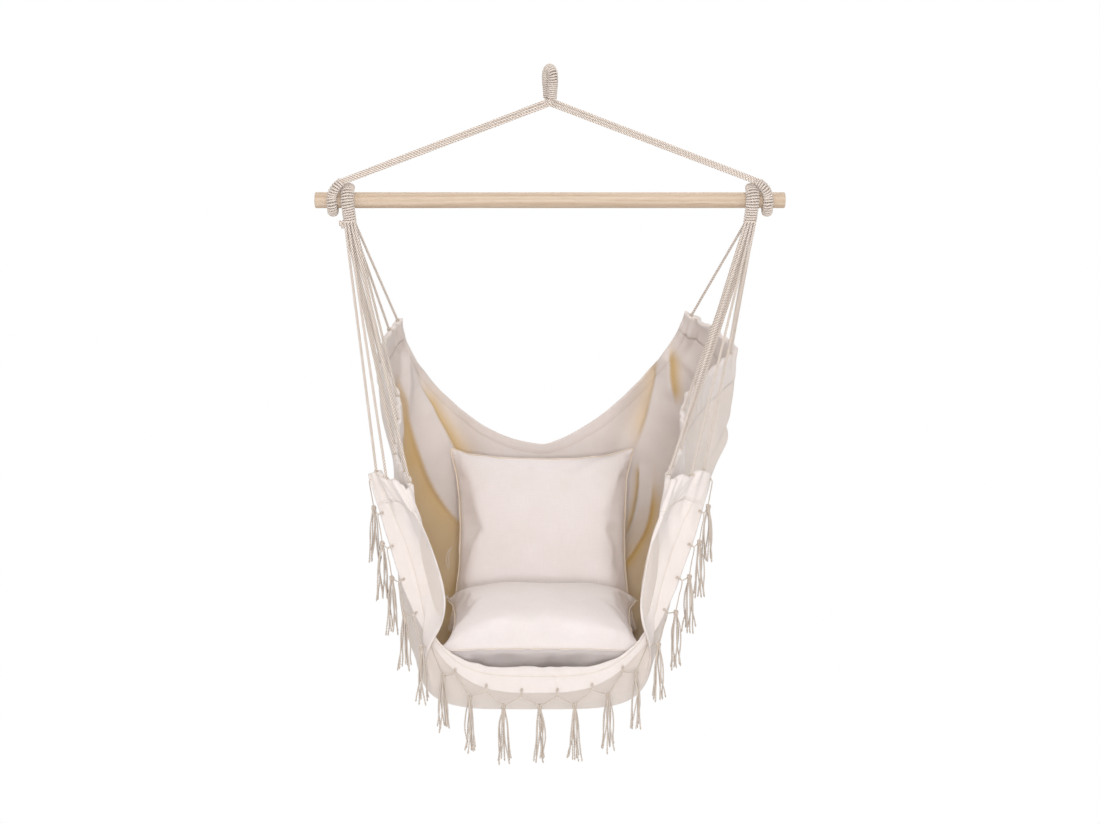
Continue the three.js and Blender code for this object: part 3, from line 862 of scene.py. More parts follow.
@dataclass(frozen=True)
class Fold:
    """A fold of the hung cloth: a straight line from one end to the other, and its section.

    A lapped fold drops sharply on its left as it is followed, seen from above with the front hem below.
    """

    start: tuple[float, float]
    end: tuple[float, float]
    width: float
    height: float
    form: FoldForm = FoldForm.ROUND
    # share of painted warm shade in the fold's hollow
    painted_warm_shade: float = 0.0

    def share(self, across: Array, v: Array, size: tuple[float, float]) -> tuple[Array, Array]:
        """How strongly each place of the cloth takes part in the fold.

        Args:
            across: The places across the cloth, from -1 to 1.
            v: The places along it, from 0 to 1.
            size: Half the cloth's width, and its length, in metres.

        Returns:
            The fold's height as a share, and how far each place lies in its hollow, from 0 to 1.
        """
        a = np.array(self.start) * size
        way = np.array(self.end) * size - a
        length = float(np.hypot(*way))
        way /= length
        x, y = across * size[0] - a[0], v * size[1] - a[1]
        t = (x * way[0] + y * way[1]) / length
        off = (x * way[1] - y * way[0]) / self.width
        ends = np.clip(t, 0, 1)
        beyond = bell((t - ends) * length / self.width, 0, 1.4)
        if self.form is FoldForm.LAPPED:
            taper = np.clip(0.15 + 3 * ends, 0, 1) * beyond
            sharp = np.where(off > 0, off / 0.2, off / 1.5)
            hollow = np.clip(off / 0.16 + 0.3, 0, 1) * np.exp(-(np.maximum(off, 0) ** 2))
            return np.exp(-sharp * sharp) * taper, hollow * taper
        taper = np.sin(math.pi * np.clip(0.12 + 0.76 * ends, 0, 1)) ** 0.8
        near = np.exp(-off * off) * taper * beyond
        return (near * off * 2.2 if self.form is FoldForm.TURNED else near), near


@dataclass
class HungCloth:
    """Where the sling's cloth hangs.

    It is read across from -1, the left hem, to 1, and along from 0, the back hem, to 1. The hems' tables give
    a place along the hem, and there the reach, the depth and the drop as shares of the rim's.
    """

    rim_reach: float = 0.425
    rim_depth: float = 0.25
    forward: float = 0.07
    rear_corner: float = 0.286
    front_corner: float = 0.541
    back_edge: float = 0.617
    bowl: float = 1.08
    shift: float = -0.017
    bowl_shift: float = -0.014
    fold_forward: float = 0.074
    crease_depth: float = 0.016
    crease_width: float = 0.034
    fold_at: float = 0.87
    fold_wide: float = 0.055
    fold_foot: float = 0.236
    crowd: float = 0.38
    thickness: float = 0.0024
    hem_share: float = 1 / 12
    cord_beyond: float = 0.0047
    profile: Array = table(
        (0, 1.56, 0), (0.06, 1.56, 0.139), (0.132, 1.53, 0.309), (0.206, 1.45, 0.478), (0.284, 1.29, 0.647),
        (0.375, 1.03, 0.816), (0.469, 0.66, 0.932), (0.567, 0.24, 0.99), (0.666, -0.2, 1),
        (0.759, -0.64, 0.96), (0.85, -1, 0.85), (0.926, -1.21, 0.69), (0.963, -1.28, 0.634),
        (1, -1.354, 0.739),
    )
    right_hem: Array = table(
        (0, 0.744, 1, -0.01), (0.08, 0.865, 0.86, 0.08), (0.17, 0.96, 0.61, 0.17), (0.23, 0.985, 0.46, 0.22),
        (0.38, 0.79, 0.14, 0.43), (0.46, 0.71, -0.12, 0.58), (0.56, 0.7, -0.4, 0.77),
        (0.64, 0.67, -0.6, 0.87), (0.8, 0.61, -0.94, 0.955), (0.84, 0.605, -1.03, 0.975),
        (0.875, 0.625, -1.07, 0.975), (0.9, 0.66, -1.03, 0.94), (0.93, 0.705, -0.97, 0.975),
        (0.96, 0.752, -0.895, 0.935), (1, 0.82, -0.79, 1),
    )
    left_hem: Array = table(
        (0, 0.744, 1, 0.05), (0.08, 0.79, 0.89, 0.11), (0.17, 0.83, 0.64, 0.21), (0.23, 0.835, 0.48, 0.29),
        (0.38, 0.74, 0.16, 0.53), (0.46, 0.72, -0.06, 0.67), (0.56, 0.73, -0.36, 0.86),
        (0.64, 0.715, -0.56, 0.92), (0.8, 0.64, -0.9, 1.02), (0.84, 0.632, -1.01, 1.055),
        (0.875, 0.65, -1.06, 1.05), (0.9, 0.687, -1.015, 0.985), (0.93, 0.735, -0.96, 1),
        (0.96, 0.776, -0.885, 0.955), (1, 0.83, -0.79, 1),
    )
    squareness: Array = table(
        (0, 1.75, 1.45), (0.1, 2, 1.9), (0.25, 3.4, 3.4), (0.5, 4.4, 4.4), (0.75, 4.8, 4.8), (0.87, 8, 8),
        (0.92, 8, 8), (0.96, 4.4, 4.4), (1, 3.2, 3.2),
    )
    fold: Array = table(
        (0, 0), (0.2, 0), (0.3, -0.35), (0.42, -0.95), (0.55, -1.05), (0.78, -0.3), (1, 1),
    )
    loops: tuple[tuple[float, float], ...] = (
        (0.015, 0.07), (0.135, 0.193), (0.315, 0.388), (0.465, 0.525), (0.665, 0.745), (0.9, 0.96),
    )
    half_width: float = 0.7
    length: float = 1.1
    folds: tuple[Fold, ...] = (
        Fold((-0.69, 0.040), (-0.36, 0.106), 0.040, 0.012, FoldForm.LAPPED, 0.95),
        Fold((-0.30, 0.197), (-0.76, 0.108), 0.030, 0.011, FoldForm.LAPPED, 0.55),
        Fold((-0.86, 0.02), (-0.66, 0.20), 0.022, 0.007, FoldForm.TURNED),
        Fold((-0.78, 0.004), (-0.62, 0.05), 0.010, -0.004),
        Fold((0.40, 0.097), (0.70, 0.018), 0.038, 0.012, FoldForm.LAPPED, 0.6),
        Fold((0.83, 0.003), (0.70, 0.064), 0.020, 0.010, FoldForm.LAPPED, 0.95),
        Fold((0.420, 0.148), (0.31, 0.262), 0.022, 0.011, FoldForm.LAPPED, 1.0),
        Fold((0.290, 0.220), (0.385, 0.132), 0.012, 0.008, FoldForm.LAPPED, 0.9),
        Fold((0.62, 0.10), (0.56, 0.34), 0.022, 0.007),
        Fold((0.80, 0.06), (0.72, 0.30), 0.020, 0.006, FoldForm.TURNED),
        Fold((0.97, 0.005), (0.84, 0.012), 0.008, -0.005),
        Fold((0.98, 0.026), (0.87, 0.032), 0.008, 0.005, FoldForm.TURNED),
        Fold((0.98, 0.050), (0.88, 0.052), 0.007, -0.005),
        Fold((0.985, 0.915), (0.74, 0.990), 0.013, -0.006),
        Fold((1.0, 0.955), (0.84, 0.985), 0.010, 0.004, FoldForm.TURNED),
        Fold((1.0, 0.90), (0.80, 0.865), 0.013, 0.005),
        Fold((-0.985, 0.93), (-0.78, 0.975), 0.014, -0.005),
        Fold((-1.0, 0.90), (-0.74, 0.90), 0.015, 0.005),
        Fold((-1.0, 0.965), (-0.90, 0.975), 0.008, 0.004, FoldForm.TURNED),
    )

    def row(self, t: Array) -> Array:
        """Turns an even count of rows into places along the cloth, closer together towards the front."""
        return t * (1 + self.crowd - self.crowd * t)

    def plain(self, across: Array, v: Array) -> Array:
        """The cloth's middle layer without its fine folds.

        Args:
            across: From -1 to 1.
            v: From 0 to 1.

        Returns:
            The points, on a new last axis.
        """
        across, v = np.broadcast_arrays(np.asarray(across, float), np.asarray(v, float))
        right = across >= 0
        side = np.where(right, 1.0, -1.0)
        share = np.minimum(np.abs(across), 1.0)
        profile = along(self.profile, v)
        low_y = profile[..., 0] * self.rim_depth - self.forward
        low_z = -BAR_DROP - (self.back_edge + profile[..., 1] * (self.bowl - self.back_edge))
        rim = np.where(right[..., None], along(self.right_hem, v), along(self.left_hem, v))
        rim_x = rim[..., 0] * self.rim_reach
        rim_y = rim[..., 1] * self.rim_depth - self.forward
        rim_z = -BAR_DROP - (self.rear_corner + rim[..., 2] * (self.front_corner - self.rear_corner))
        both = along(self.squareness, v)
        square = np.where(right, both[..., 1], both[..., 0])
        angle = share * math.pi / 2
        sine, cosine = np.sin(angle), np.maximum(np.cos(angle), 0)
        reach = (sine**square + cosine**square) ** (-1 / square)
        out = sine * reach
        rise = 1 - cosine * reach
        near = bell(v, self.fold_at, self.fold_wide)
        past = np.maximum((v - self.fold_at) / (1 - self.fold_at), 0)
        opened = along(self.fold, rise)[..., 0]
        opened = opened + (rise - opened) * past
        drawn = self.fold_foot + (rim_x - self.fold_foot) * opened
        wide = rim_x + (drawn - rim_x) * np.where(past > 0, 1.0, near)
        ahead = np.sin(math.pi * np.clip(rise, 0, 1))
        swing = np.clip(rise, 0, None) ** np.where(v < 0.5, 2 - 2 * v, 1.0)
        x = out * wide
        y = low_y + (rim_y - low_y) * swing - self.fold_forward * ahead * near
        z = low_z + (rim_z - low_z) * rise
        y = y + self.crease_depth * self._crease(x, z, v)
        x = side * x + self.shift + self.bowl_shift * profile[..., 1] * (1 - rise) ** 2
        return np.stack([x, y, z], -1)

    def _crease(self, x: Array, z: Array, v: Array) -> Array:
        """How deep the crease past the back cushion's corner is.

        Args:
            x: The places' distances from the middle.
            z: Their heights.
            v: Their rows, from 0 to 1.

        Returns:
            The share of the crease's depth at each place, from 0 to 1.
        """
        top = np.array([self.rim_reach * 0.61, -BAR_DROP - self.rear_corner - self.rim_reach * 0.36])
        foot = np.array([self.rim_reach * 0.4, -BAR_DROP - self.back_edge - self.rim_reach * 0.1])
        way = foot - top
        start = np.stack([x, z], -1) - top
        t = np.clip((start @ way) / way.dot(way), 0, 1)
        off = np.linalg.norm(start - t[..., None] * way, axis=-1) / self.crease_width
        return np.where(v < 0.4, np.exp(-off * off), 0.0)

    def drape(self, across: Array, v: Array) -> Array:
        """How far the fine folds stand off the plain cloth.

        Args:
            across: From -1 to 1.
            v: From 0 to 1.

        Returns:
            The height along the upper face's way out, in metres.
        """
        across, v = np.broadcast_arrays(np.asarray(across, float), np.asarray(v, float))
        edge = 1 - np.abs(across)
        height = np.zeros(across.shape)
        for side, seed in ((across >= 0, 11), (across < 0, 23)):
            near = Ripples(seed, 0.055, 0.018).at(v)
            pull = Ripples(seed + 1, 0.16, 0.06, 5).at(v + edge * 0.10)
            soft = Ripples(seed + 2, 0.5, 0.12, 5).at(v * 0.9 + edge * 0.6)
            gather = 1 + 0.9 * np.exp(-v / 0.05) + 0.8 * bell(v, 0.93, 0.07)
            here = 0.0022 * near * gather * np.exp(-edge / 0.055)
            by_hem = (edge / 0.10) * np.exp(1 - edge / 0.10) * bell(v, 0.3, 0.42)
            here = here + 0.0050 * pull * by_hem
            here = here + 0.0030 * soft * np.clip(edge / 0.2, 0, 1) * bell(edge, 0.35, 0.3)
            height = np.where(side, here, height)
        for fold in self.folds:
            height = height + fold.height * fold.share(across, v, (self.half_width, self.length))[0]
        hang = Ripples(37, 0.5, 0.11, 5).at(across + 0.12 * np.sin(5 * v))
        front = Ripples(41, 0.4, 0.08, 6).at(across * 1.1 + v * 0.3)
        return height + 0.0022 * hang * np.exp(-v / 0.22) + 0.0016 * front * bell(v, 0.98, 0.06)

    def painted_warm_shade_share(self, across: Array, v: Array) -> Array:
        """How much painted warm shade the upper face takes deep inside the sling and in the folds' hollows.

        Args:
            across: From -1 to 1.
            v: From 0 to 1.

        Returns:
            The painted shade's share at each place, from 0 to 1.
        """
        edge = 1 - np.abs(across)
        left = across < 0
        # painted warm shade on the inner side walls below the ledge, where the deep pocket lies in shade
        ledge = np.where(left, 0.197 + 0.193 * (np.minimum(across, -0.30) + 0.30), 0.17)
        side = np.clip((edge - 0.22) / 0.1, 0, 1) * np.clip((0.86 - edge) / 0.14, 0, 1)
        below = np.clip((v - ledge) / np.where(left, 0.006, 0.09), 0, 1)
        painted_warm_shade = np.where(left, 0.74, 0.62) * side * below * np.clip((0.70 - v) / 0.16, 0, 1)
        painted_warm_shade = painted_warm_shade * (1 + 0.12 * Ripples(43, 0.4, 0.1, 5).at(across + v))
        for fold in self.folds:
            near = fold.share(across, v, (self.half_width, self.length))[1]
            painted_warm_shade = painted_warm_shade + fold.painted_warm_shade * near * (1 - painted_warm_shade)
        return np.clip(painted_warm_shade, 0, 1)

    def surface(self, across: Array, v: Array) -> tuple[Array, Array]:
        """The cloth's middle layer with its fine folds.

        Args:
            across: The columns, from -1 to 1.
            v: The rows, from 0 to 1.

        Returns:
            The net of points, one row a value of v, and the way out of the upper face at each point.
        """
        a, b = np.meshgrid(across, v)
        net = self.plain(a, b)
        net = net + way_out(net) * self.drape(a, b)[..., None]
        return net, way_out(net)

    def hem_line(self, side: Side, t: Array) -> tuple[Array, Array]:
        """The side hem's edge.

        Args:
            side: Which hem.
            t: Even counts along it.

        Returns:
            The edge, and the way on past it.
        """
        across = np.array([1 - self.hem_share, 1.0]) * side.value
        net = self.plain(*np.broadcast_arrays(across, self.row(t)[:, None]))
        return net[:, 1], unit(net[:, 1] - net[:, 0])

    def cord_in_hem(self, side: Side, t: Array) -> Array:
        """Where a cord lies inside the side hem."""
        edge, beyond = self.hem_line(side, t)
        return edge + beyond * self.cord_beyond


# Wooden bar


@dataclass
class SpreaderBar:
    """A turned dowel with rounded ends."""

    length: float = 1.0
    radius: float = BAR_RADIUS
    rounding: float = 0.003
    wander: float = 0.006
    sides: int = 72

    def build(self, finishes: Finishes) -> None:
        """Makes the bar.

        Args:
            finishes: The chair's finishes.
        """
        half, rounding = self.length / 2, self.rounding
        a = np.radians([90, 67.5, 45, 22.5, 0])
        corner = np.stack([-half + rounding * (1 - np.sin(a)), self.radius - rounding * (1 - np.cos(a))], 1)
        left = np.vstack([[(-half, self.radius / 2)], corner])
        x = np.linspace(-half + 0.02, half - 0.02, 40)
        middle = np.stack([x, np.full(len(x), self.radius)], 1)
        x, r = np.vstack([left, middle, left[::-1] * (-1, 1)]).T
        r = np.minimum(r * (1 + self.wander * Ripples(5, 0.8, 0.15).at(x)), self.radius)
        angle = turns_round(self.sides)
        y, z = np.outer(r, np.cos(angle)), np.outer(r, np.sin(angle)) - BAR_DROP
        skin = Skin()
        add_tube(skin, np.stack([np.broadcast_to(x[:, None], y.shape), y, z], -1))
        dressed(skin.made("spreader_bar_dowel"), finishes.wood, Body.HANGER, "spreader_bar")


# Whipped bundles


@dataclass(frozen=True)
class Bundle:
    """Cords laid together along a path and whipped round with a cord."""

    path: Array
    outward: Array
    thick: float
    wide: float

    def ways(self) -> tuple[Array, Array]:
        """The ways round the path.

        Returns:
            The ways out and across at each of its points.
        """
        ahead = unit(np.gradient(self.path, axis=0))
        out = unit(self.outward - ahead * (self.outward * ahead).sum(-1, keepdims=True))
        return out, np.cross(ahead, out)

    def core(self, skin: Skin, inset: float) -> None:
        """Adds the cords' oval core.

        Args:
            skin: The mesh that it joins.
            inset: From the outside of the whipping down to the core.
        """
        out, across = self.ways()
        angle = turns_round(28)
        lump = 1 + 0.05 * np.cos(7 * angle)
        rings = (
            self.path[:, None]
            + out[:, None] * ((self.thick - inset) * lump * np.cos(angle))[None, :, None]
            + across[:, None] * ((self.wide - inset) * lump * np.sin(angle))[None, :, None]
        )
        # low between the core's cords, where the finish paints groove shade
        depth = np.broadcast_to(0.5 + 0.5 * np.cos(7 * angle), rings.shape[:2])
        add_tube(skin, rings, depth=depth)

    def whip(self, skin: Skin, rope: Rope, pitch: float) -> None:
        """Adds the whipping as one unbroken cord.

        Args:
            skin: The mesh that it joins.
            rope: The whipping cord.
            pitch: From one turn to the next.
        """
        run = run_along(self.path)
        turns = run[-1] / pitch
        share = np.linspace(0, 1, int(turns * 26))
        at = share * run[-1]
        out, across = (unit(read_at(at, run, way)) for way in self.ways())
        angle = 2 * math.pi * turns * share
        winding = (
            read_at(at, run, self.path)
            + out * ((self.thick - rope.radius) * np.cos(angle))[:, None]
            + across * ((self.wide - rope.radius) * np.sin(angle))[:, None]
        )
        rope.lay_along(skin, evenly(winding, rope.step))


@dataclass
class HangingLoop:
    """The whipped eye that goes on the hook."""

    strand: float = 0.011
    spread: float = 0.04
    fall: float = 0.05
    turn: float = -70.0
    pitch: float = 0.0043

    def bundle(self) -> Bundle:
        """Bends the strand round the hook.

        Returns:
            The eye's path, turned about the hook, and its section.
        """
        half = self.spread / 2
        shoulder = self.strand - half
        foot = self.strand + GAP
        right = np.array([((foot + half) / 2, 0, (shoulder - self.fall) / 2), (foot, 0, -self.fall)])
        a = np.radians([180, 145, 90, 35, 0])
        arch = np.stack([half * np.cos(a), np.zeros(len(a)), shoulder + half * np.sin(a)], 1)
        path = curved(np.vstack([right[::-1] * (-1, 1, 1), arch, right]), PATH_STEP)
        outward = np.stack([path[:, 0], np.zeros(len(path)), np.maximum(path[:, 2] - shoulder, 0)], 1)
        a = math.radians(self.turn)
        spin = np.array([[math.cos(a), math.sin(a), 0], [-math.sin(a), math.cos(a), 0], [0, 0, 1]])
        return Bundle(path @ spin, outward @ spin, self.strand, self.strand)

    def build(self, finishes: Finishes) -> None:
        """Makes the eye's core and whipping.

        Args:
            finishes: The chair's finishes.
        """
        bundle = self.bundle()
        core = Skin()
        bundle.core(core, 2.6 * FINE_WHIP.radius)
        dressed(core.made("eye_core"), finishes.core, Body.EYE, "hanging_loop_core")
        whip = Skin()
        bundle.whip(whip, FINE_WHIP, self.pitch)
        dressed(whip.made("eye_whipping"), finishes.cord, Body.EYE, "hanging_loop_whipping")


@dataclass
class Hitch:
    """One side's hitch: the arm's rope goes round the bar twice, whipped, and ends in a collar below it."""

    side: Side
    outer_at: float = 0.462
    outer_wide: float = 0.0115
    outer_thick: float = 0.009
    inner_at: float = 0.429
    inner_wide: float = 0.015
    inner_thick: float = 0.010
    collar_at: float = 0.424
    collar_drop: float = 0.044
    pitch: float = 0.0055

    @property
    def outer_away(self) -> float:
        """From the bar's middle to the outer turn's middle."""
        return BAR_RADIUS + 2 * GAP + self.outer_thick

    @property
    def inner_away(self) -> float:
        """From the bar's middle to the inner turn's middle."""
        return BAR_RADIUS + 2 * GAP + self.inner_thick

    def by_bar(self, x: float, degrees: float, away: float) -> tuple[float, float, float]:
        """A point by the bar: along it, up from the front, and away from its middle."""
        a = math.radians(degrees)
        return (self.side.value * x, -away * math.cos(a), -BAR_DROP + away * math.sin(a))

    def outer_path(self) -> Array:
        """Leads the rope round the bar's end.

        Returns:
            The outer turn, from the arm round behind the bar.
        """
        crossing = BAR_RADIUS + 2 * (self.inner_thick + GAP) + self.outer_thick
        between = (self.outer_away + crossing) / 2
        chain = [
            (self.inner_at + self.outer_wide, 64, crossing),
            (self.outer_at - self.inner_wide / 2, 48, between + self.outer_thick / 3),
            (self.outer_at, 24, self.outer_away + GAP),
            *((self.outer_at, degrees, self.outer_away) for degrees in (-12, -55, -100)),
            (self.outer_at - GAP, -140, self.outer_away),
            ((self.outer_at + self.inner_at + self.inner_wide) / 2, -172, self.outer_away),
        ]
        return curved([self.by_bar(*point) for point in chain], PATH_STEP)

    def inner_path(self) -> Array:
        """Leads the rope round the bar once more.

        Returns:
            The inner turn, over the bar and down into the collar.
        """
        start = (self.outer_at + self.inner_at + self.inner_wide) / 2
        s = self.side.value
        chain = [
            (start - self.outer_thick / 4, -184),
            ((start + self.inner_at) / 2, -212),
            (self.inner_at + self.inner_wide / 4, -242),
            *((self.inner_at, degrees) for degrees in (-275, -318, -360)),
        ]
        return curved([
            *(self.by_bar(x, degrees, self.inner_away) for x, degrees in chain),
            (s * (self.inner_at + self.collar_at) / 2, -self.inner_away, -BAR_DROP - self.collar_drop / 2),
            (s * self.collar_at, -self.inner_away, -BAR_DROP - self.collar_drop),
        ], PATH_STEP)

    def build(self, finishes: Finishes) -> None:
        """Makes both turns' cores and whippings.

        Args:
            finishes: The chair's finishes.
        """
        turns = (
            ("outer", self.outer_path(), self.outer_thick, self.outer_wide),
            ("inner", self.inner_path(), self.inner_thick, self.inner_wide),
        )
        for word, path, thick, wide in turns:
            outward = path * (0, 1, 1) - BAR_DROP * DOWN
            bundle = Bundle(path, outward, thick, wide)
            name = f"{self.side.label}_{word}_turn"
            core = Skin()
            bundle.core(core, 2.2 * WHIP_CORD.radius)
            dressed(core.made(f"{name}_bundle"), finishes.core, Body.HANGER, f"{name}_core")
            whip = Skin()
            bundle.whip(whip, WHIP_CORD, self.pitch)
            if word == "inner" and self.side is Side.LEFT:
                foot = path[-1] + (-self.inner_wide * 1.1, -0.002, -0.001)
                add_knot(whip, WHIP_CORD, foot, 0.0048)
                add_knot(whip, WHIP_CORD, foot + (0.003, 0.001, -0.0065), 0.0036)
            piece = whip.made(f"{name}_whip")
            dressed(piece, finishes.cord, Body.HANGER, f"{name}_whipping")


@dataclass
class Arms:
    """The two arms of four cords each, and the neck where they come out of the eye and cross."""

    neck_drop: float = 0.059
    neck_radius: float = 0.012
    bound: float = 0.0088
    spread: float = 0.0058
    places: tuple[tuple[float, float], ...] = ((1, 0), (0, 0), (-1, 0), (0.5, 1))

    def ends(self, side: Side) -> tuple[Array, Array, Array]:
        """Where an arm starts and ends, and its way.

        Args:
            side: Which arm.

        Returns:
            The neck's middle, the hitch's start, and the way from one to the other.
        """
        middle = np.array([0, 0, -self.neck_drop])
        end = Hitch(side).outer_path()[0]
        return middle, end, unit(end - middle)

    def build(self, finishes: Finishes) -> None:
        """Makes the arms' cords and the neck.

        Args:
            finishes: The chair's finishes.
        """
        neck = Skin()
        eye = HangingLoop().bundle().path
        front, rear = (eye[0], eye[-1]) if eye[0][1] < eye[-1][1] else (eye[-1], eye[0])
        for side in Side:
            middle, end, way = self.ends(side)
            up = unit(UP - way * way[2])
            foot = front if side is Side.RIGHT else rear
            for n, (high, deep) in enumerate(self.places):
                offset = up * high * self.spread + (0, deep * self.spread, 0)
                begin = middle + way * self.neck_radius * 0.75 + offset
                path = evenly(np.array([begin, end + way * 0.010 + offset * 0.7]), HANGER_CORD.step)
                skin = Skin()
                HANGER_CORD.lay_along(skin, path, n * 1.3)
                name = f"{side.label}_arm_cord_{n + 1}"
                dressed(skin.made(f"{name}_laid"), finishes.cord, Body.HANGER, name)
                x, y = high * 0.0042, deep * 0.004
                drop = foot + (side.value * x, y, 0.004)
                bend = foot * (0.7, 0.8, 0) + (x / 2, y, 0.002 - self.neck_drop)
                chain = [drop, (drop + bend) / 2, bend, begin, begin + way * 0.004]
                HANGER_CORD.lay_along(neck, curved(chain, HANGER_CORD.step), n)
        self._seize(neck)
        dressed(neck.made("neck_crossing"), finishes.cord, Body.NECK, "neck_seizing")

    def _seize(self, skin: Skin) -> None:
        """Adds the turns of cord that bind the crossing.

        Args:
            skin: The mesh that they join.
        """
        t = np.linspace(0, 1, 260)
        z = (0.5 - t) * 0.015
        far = self.bound * np.sqrt(np.maximum(1 - (z / 0.0125) ** 2, 0.05))
        angle = 2 * math.pi * 3 * t
        path = np.stack([far * np.cos(angle), far * np.sin(angle), z - self.neck_drop], 1)
        HANGER_CORD.lay_along(skin, evenly(path, HANGER_CORD.step))


# The seat's cords and cloth


@dataclass
class FanCords:
    """One side's fan: six loops of cord from the collar, through the side hem and back."""

    side: Side
    cloth: HungCloth
    pitch: float = 0.0066
    columns: int = 4
    gap: float = 0.002
    inside: float = 0.007
    lead: float = 0.022
    hole: float = 0.0040
    hole_out: float = 0.0068

    def collar(self, n: int) -> Array:
        """Finds a cord's place in the collar.

        Args:
            n: The cord's count.

        Returns:
            Where it leaves the collar.
        """
        hitch = Hitch(self.side)
        row, column = divmod(n, self.columns)
        x = hitch.collar_at + (column - (self.columns - 1) / 2) * self.pitch
        y = -hitch.inner_away + (1 - row) * self.pitch
        return np.array([self.side.value * x, y, -BAR_DROP - hitch.collar_drop - self.gap])

    def route(self, n: int) -> Array:
        """Leads a loop from the collar through the hem and back.

        Args:
            n: The loop's count.

        Returns:
            Its route.
        """
        low = self.cloth.cord_in_hem(self.side, np.linspace(*self.cloth.loops[n], 14))
        runs = []
        for start, end in ((self.collar(2 * n), low[0]), (self.collar(2 * n + 1), low[-1])):
            lead = start + unit(end - start) * self.lead
            runs.append(np.array([start + self.inside * UP, start, lead, end + unit(lead - end) * 0.0112]))
        return eased(np.vstack([runs[0], low, runs[1][::-1]]), HANGER_CORD.step, 0.012)

    def build(self, finishes: Finishes) -> None:
        """Makes the loops and a sewn ring where each cord enters the hem.

        Args:
            finishes: The chair's finishes.
        """
        rings = Skin()
        for n in range(len(self.cloth.loops)):
            skin = Skin()
            HANGER_CORD.lay_along(skin, self.route(n), n * 0.8)
            name = f"{self.side.label}_fan_loop_{n + 1}"
            dressed(skin.made(f"{name}_laid"), finishes.cord, Body.SEAT, name)
            self._eyelets(rings, n)
        piece = rings.made(f"{self.side.label}_hem_eyelets")
        dressed(piece, finishes.thread, Body.SEAT)

    def _eyelets(self, skin: Skin, n: int) -> None:
        """Adds the overcast rings of a loop's two holes.

        Args:
            skin: The mesh that they join.
            n: The loop's count.
        """
        angle = np.linspace(0, 2 * math.pi, 40)
        far = self.hole + 0.0004 * np.sin(11 * angle)
        across, up = (far * np.cos(angle))[:, None], (far * np.sin(angle))[:, None]
        for m, low in enumerate(self.cloth.cord_in_hem(self.side, np.array(self.cloth.loops[n]))):
            way = unit(self.collar(2 * n + m) - low)
            a = unit(np.cross(way, [0.3, 0.8, 0.1]))
            circle = low + way * self.hole_out + a * across + np.cross(way, a) * up
            EYELET_THREAD.lay_along(skin, evenly(circle, EYELET_THREAD.step))


@dataclass
class Sling:
    """The sling's cloth: one sheet of canvas with rolled hems at its back and front edges."""

    cloth: HungCloth
    columns: int = 360
    rows: int = 330
    flat_width: float = 1.4
    flat_length: float = 1.1
    seams: tuple[float, float] = (0.0215, 0.9795)
    roll: float = 0.0007
    sunk: float = 0.0006
    # painted shade on the sheet's underside
    under_painted_shade: float = 0.08

    def build(self, finishes: Finishes) -> list[bpy.types.Object]:
        """Makes the sheet and the stitching of its hems.

        Args:
            finishes: The chair's finishes.

        Returns:
            The sheet, then its stitching.
        """
        across = np.linspace(-1, 1, self.columns + 1)
        v = self.cloth.row(np.linspace(0, 1, self.rows + 1))
        net, normal = self.cloth.surface(across, v)
        a, b = np.meshgrid(across, v)
        half = self.cloth.thickness / 2 * 0.8
        rolled = np.clip((0.020 - b) / 0.003, 0, 1) + np.clip((b - 0.982) / 0.003, 0, 1)
        crease = sum(bell(b, seam, 0.0022) for seam in self.seams)
        thick = normal * (half + self.roll * rolled - self.sunk * crease)[..., None]
        flat = np.stack([a * self.flat_width / 2, b * self.flat_length], -1).reshape(-1, 2)
        # painted warm shade on the upper face inside the sling
        painted_warm_shade = self.cloth.painted_warm_shade_share(a, b).ravel() * 0.9
        ids = np.arange(painted_warm_shade.size).reshape(a.shape)
        quads = net_quads(*a.shape)
        loop = np.concatenate([ids[0], ids[1:, -1], ids[-1, -2::-1], ids[-2::-1, 0]])
        wall = np.stack([loop[:-1], loop[1:], loop[1:] + ids.size, loop[:-1] + ids.size], -1)
        skin = Skin()
        skin.add(
            np.vstack([(net + thick).reshape(-1, 3), (net - thick).reshape(-1, 3)]),
            np.vstack([quads[:, ::-1], quads + ids.size, wall]), None, np.vstack([flat, flat]),
            np.concatenate([painted_warm_shade, np.full(ids.size, self.under_painted_shade)]),
        )
        sheet = dressed(skin.made("sling_canvas"), finishes.canvas, Body.SEAT, "sling_cloth")
        sewn = Skin()
        for seam in self.seams:
            row = int(np.argmin(np.abs(v - seam)))
            for sign in (1, -1):
                add_stitches(sewn, net[row] + normal[row] * sign * half, normal[row] * sign)
        stitches = dressed(sewn.made("sling_hem_stitches"), finishes.thread, Body.SEAT)
        return [sheet, stitches]


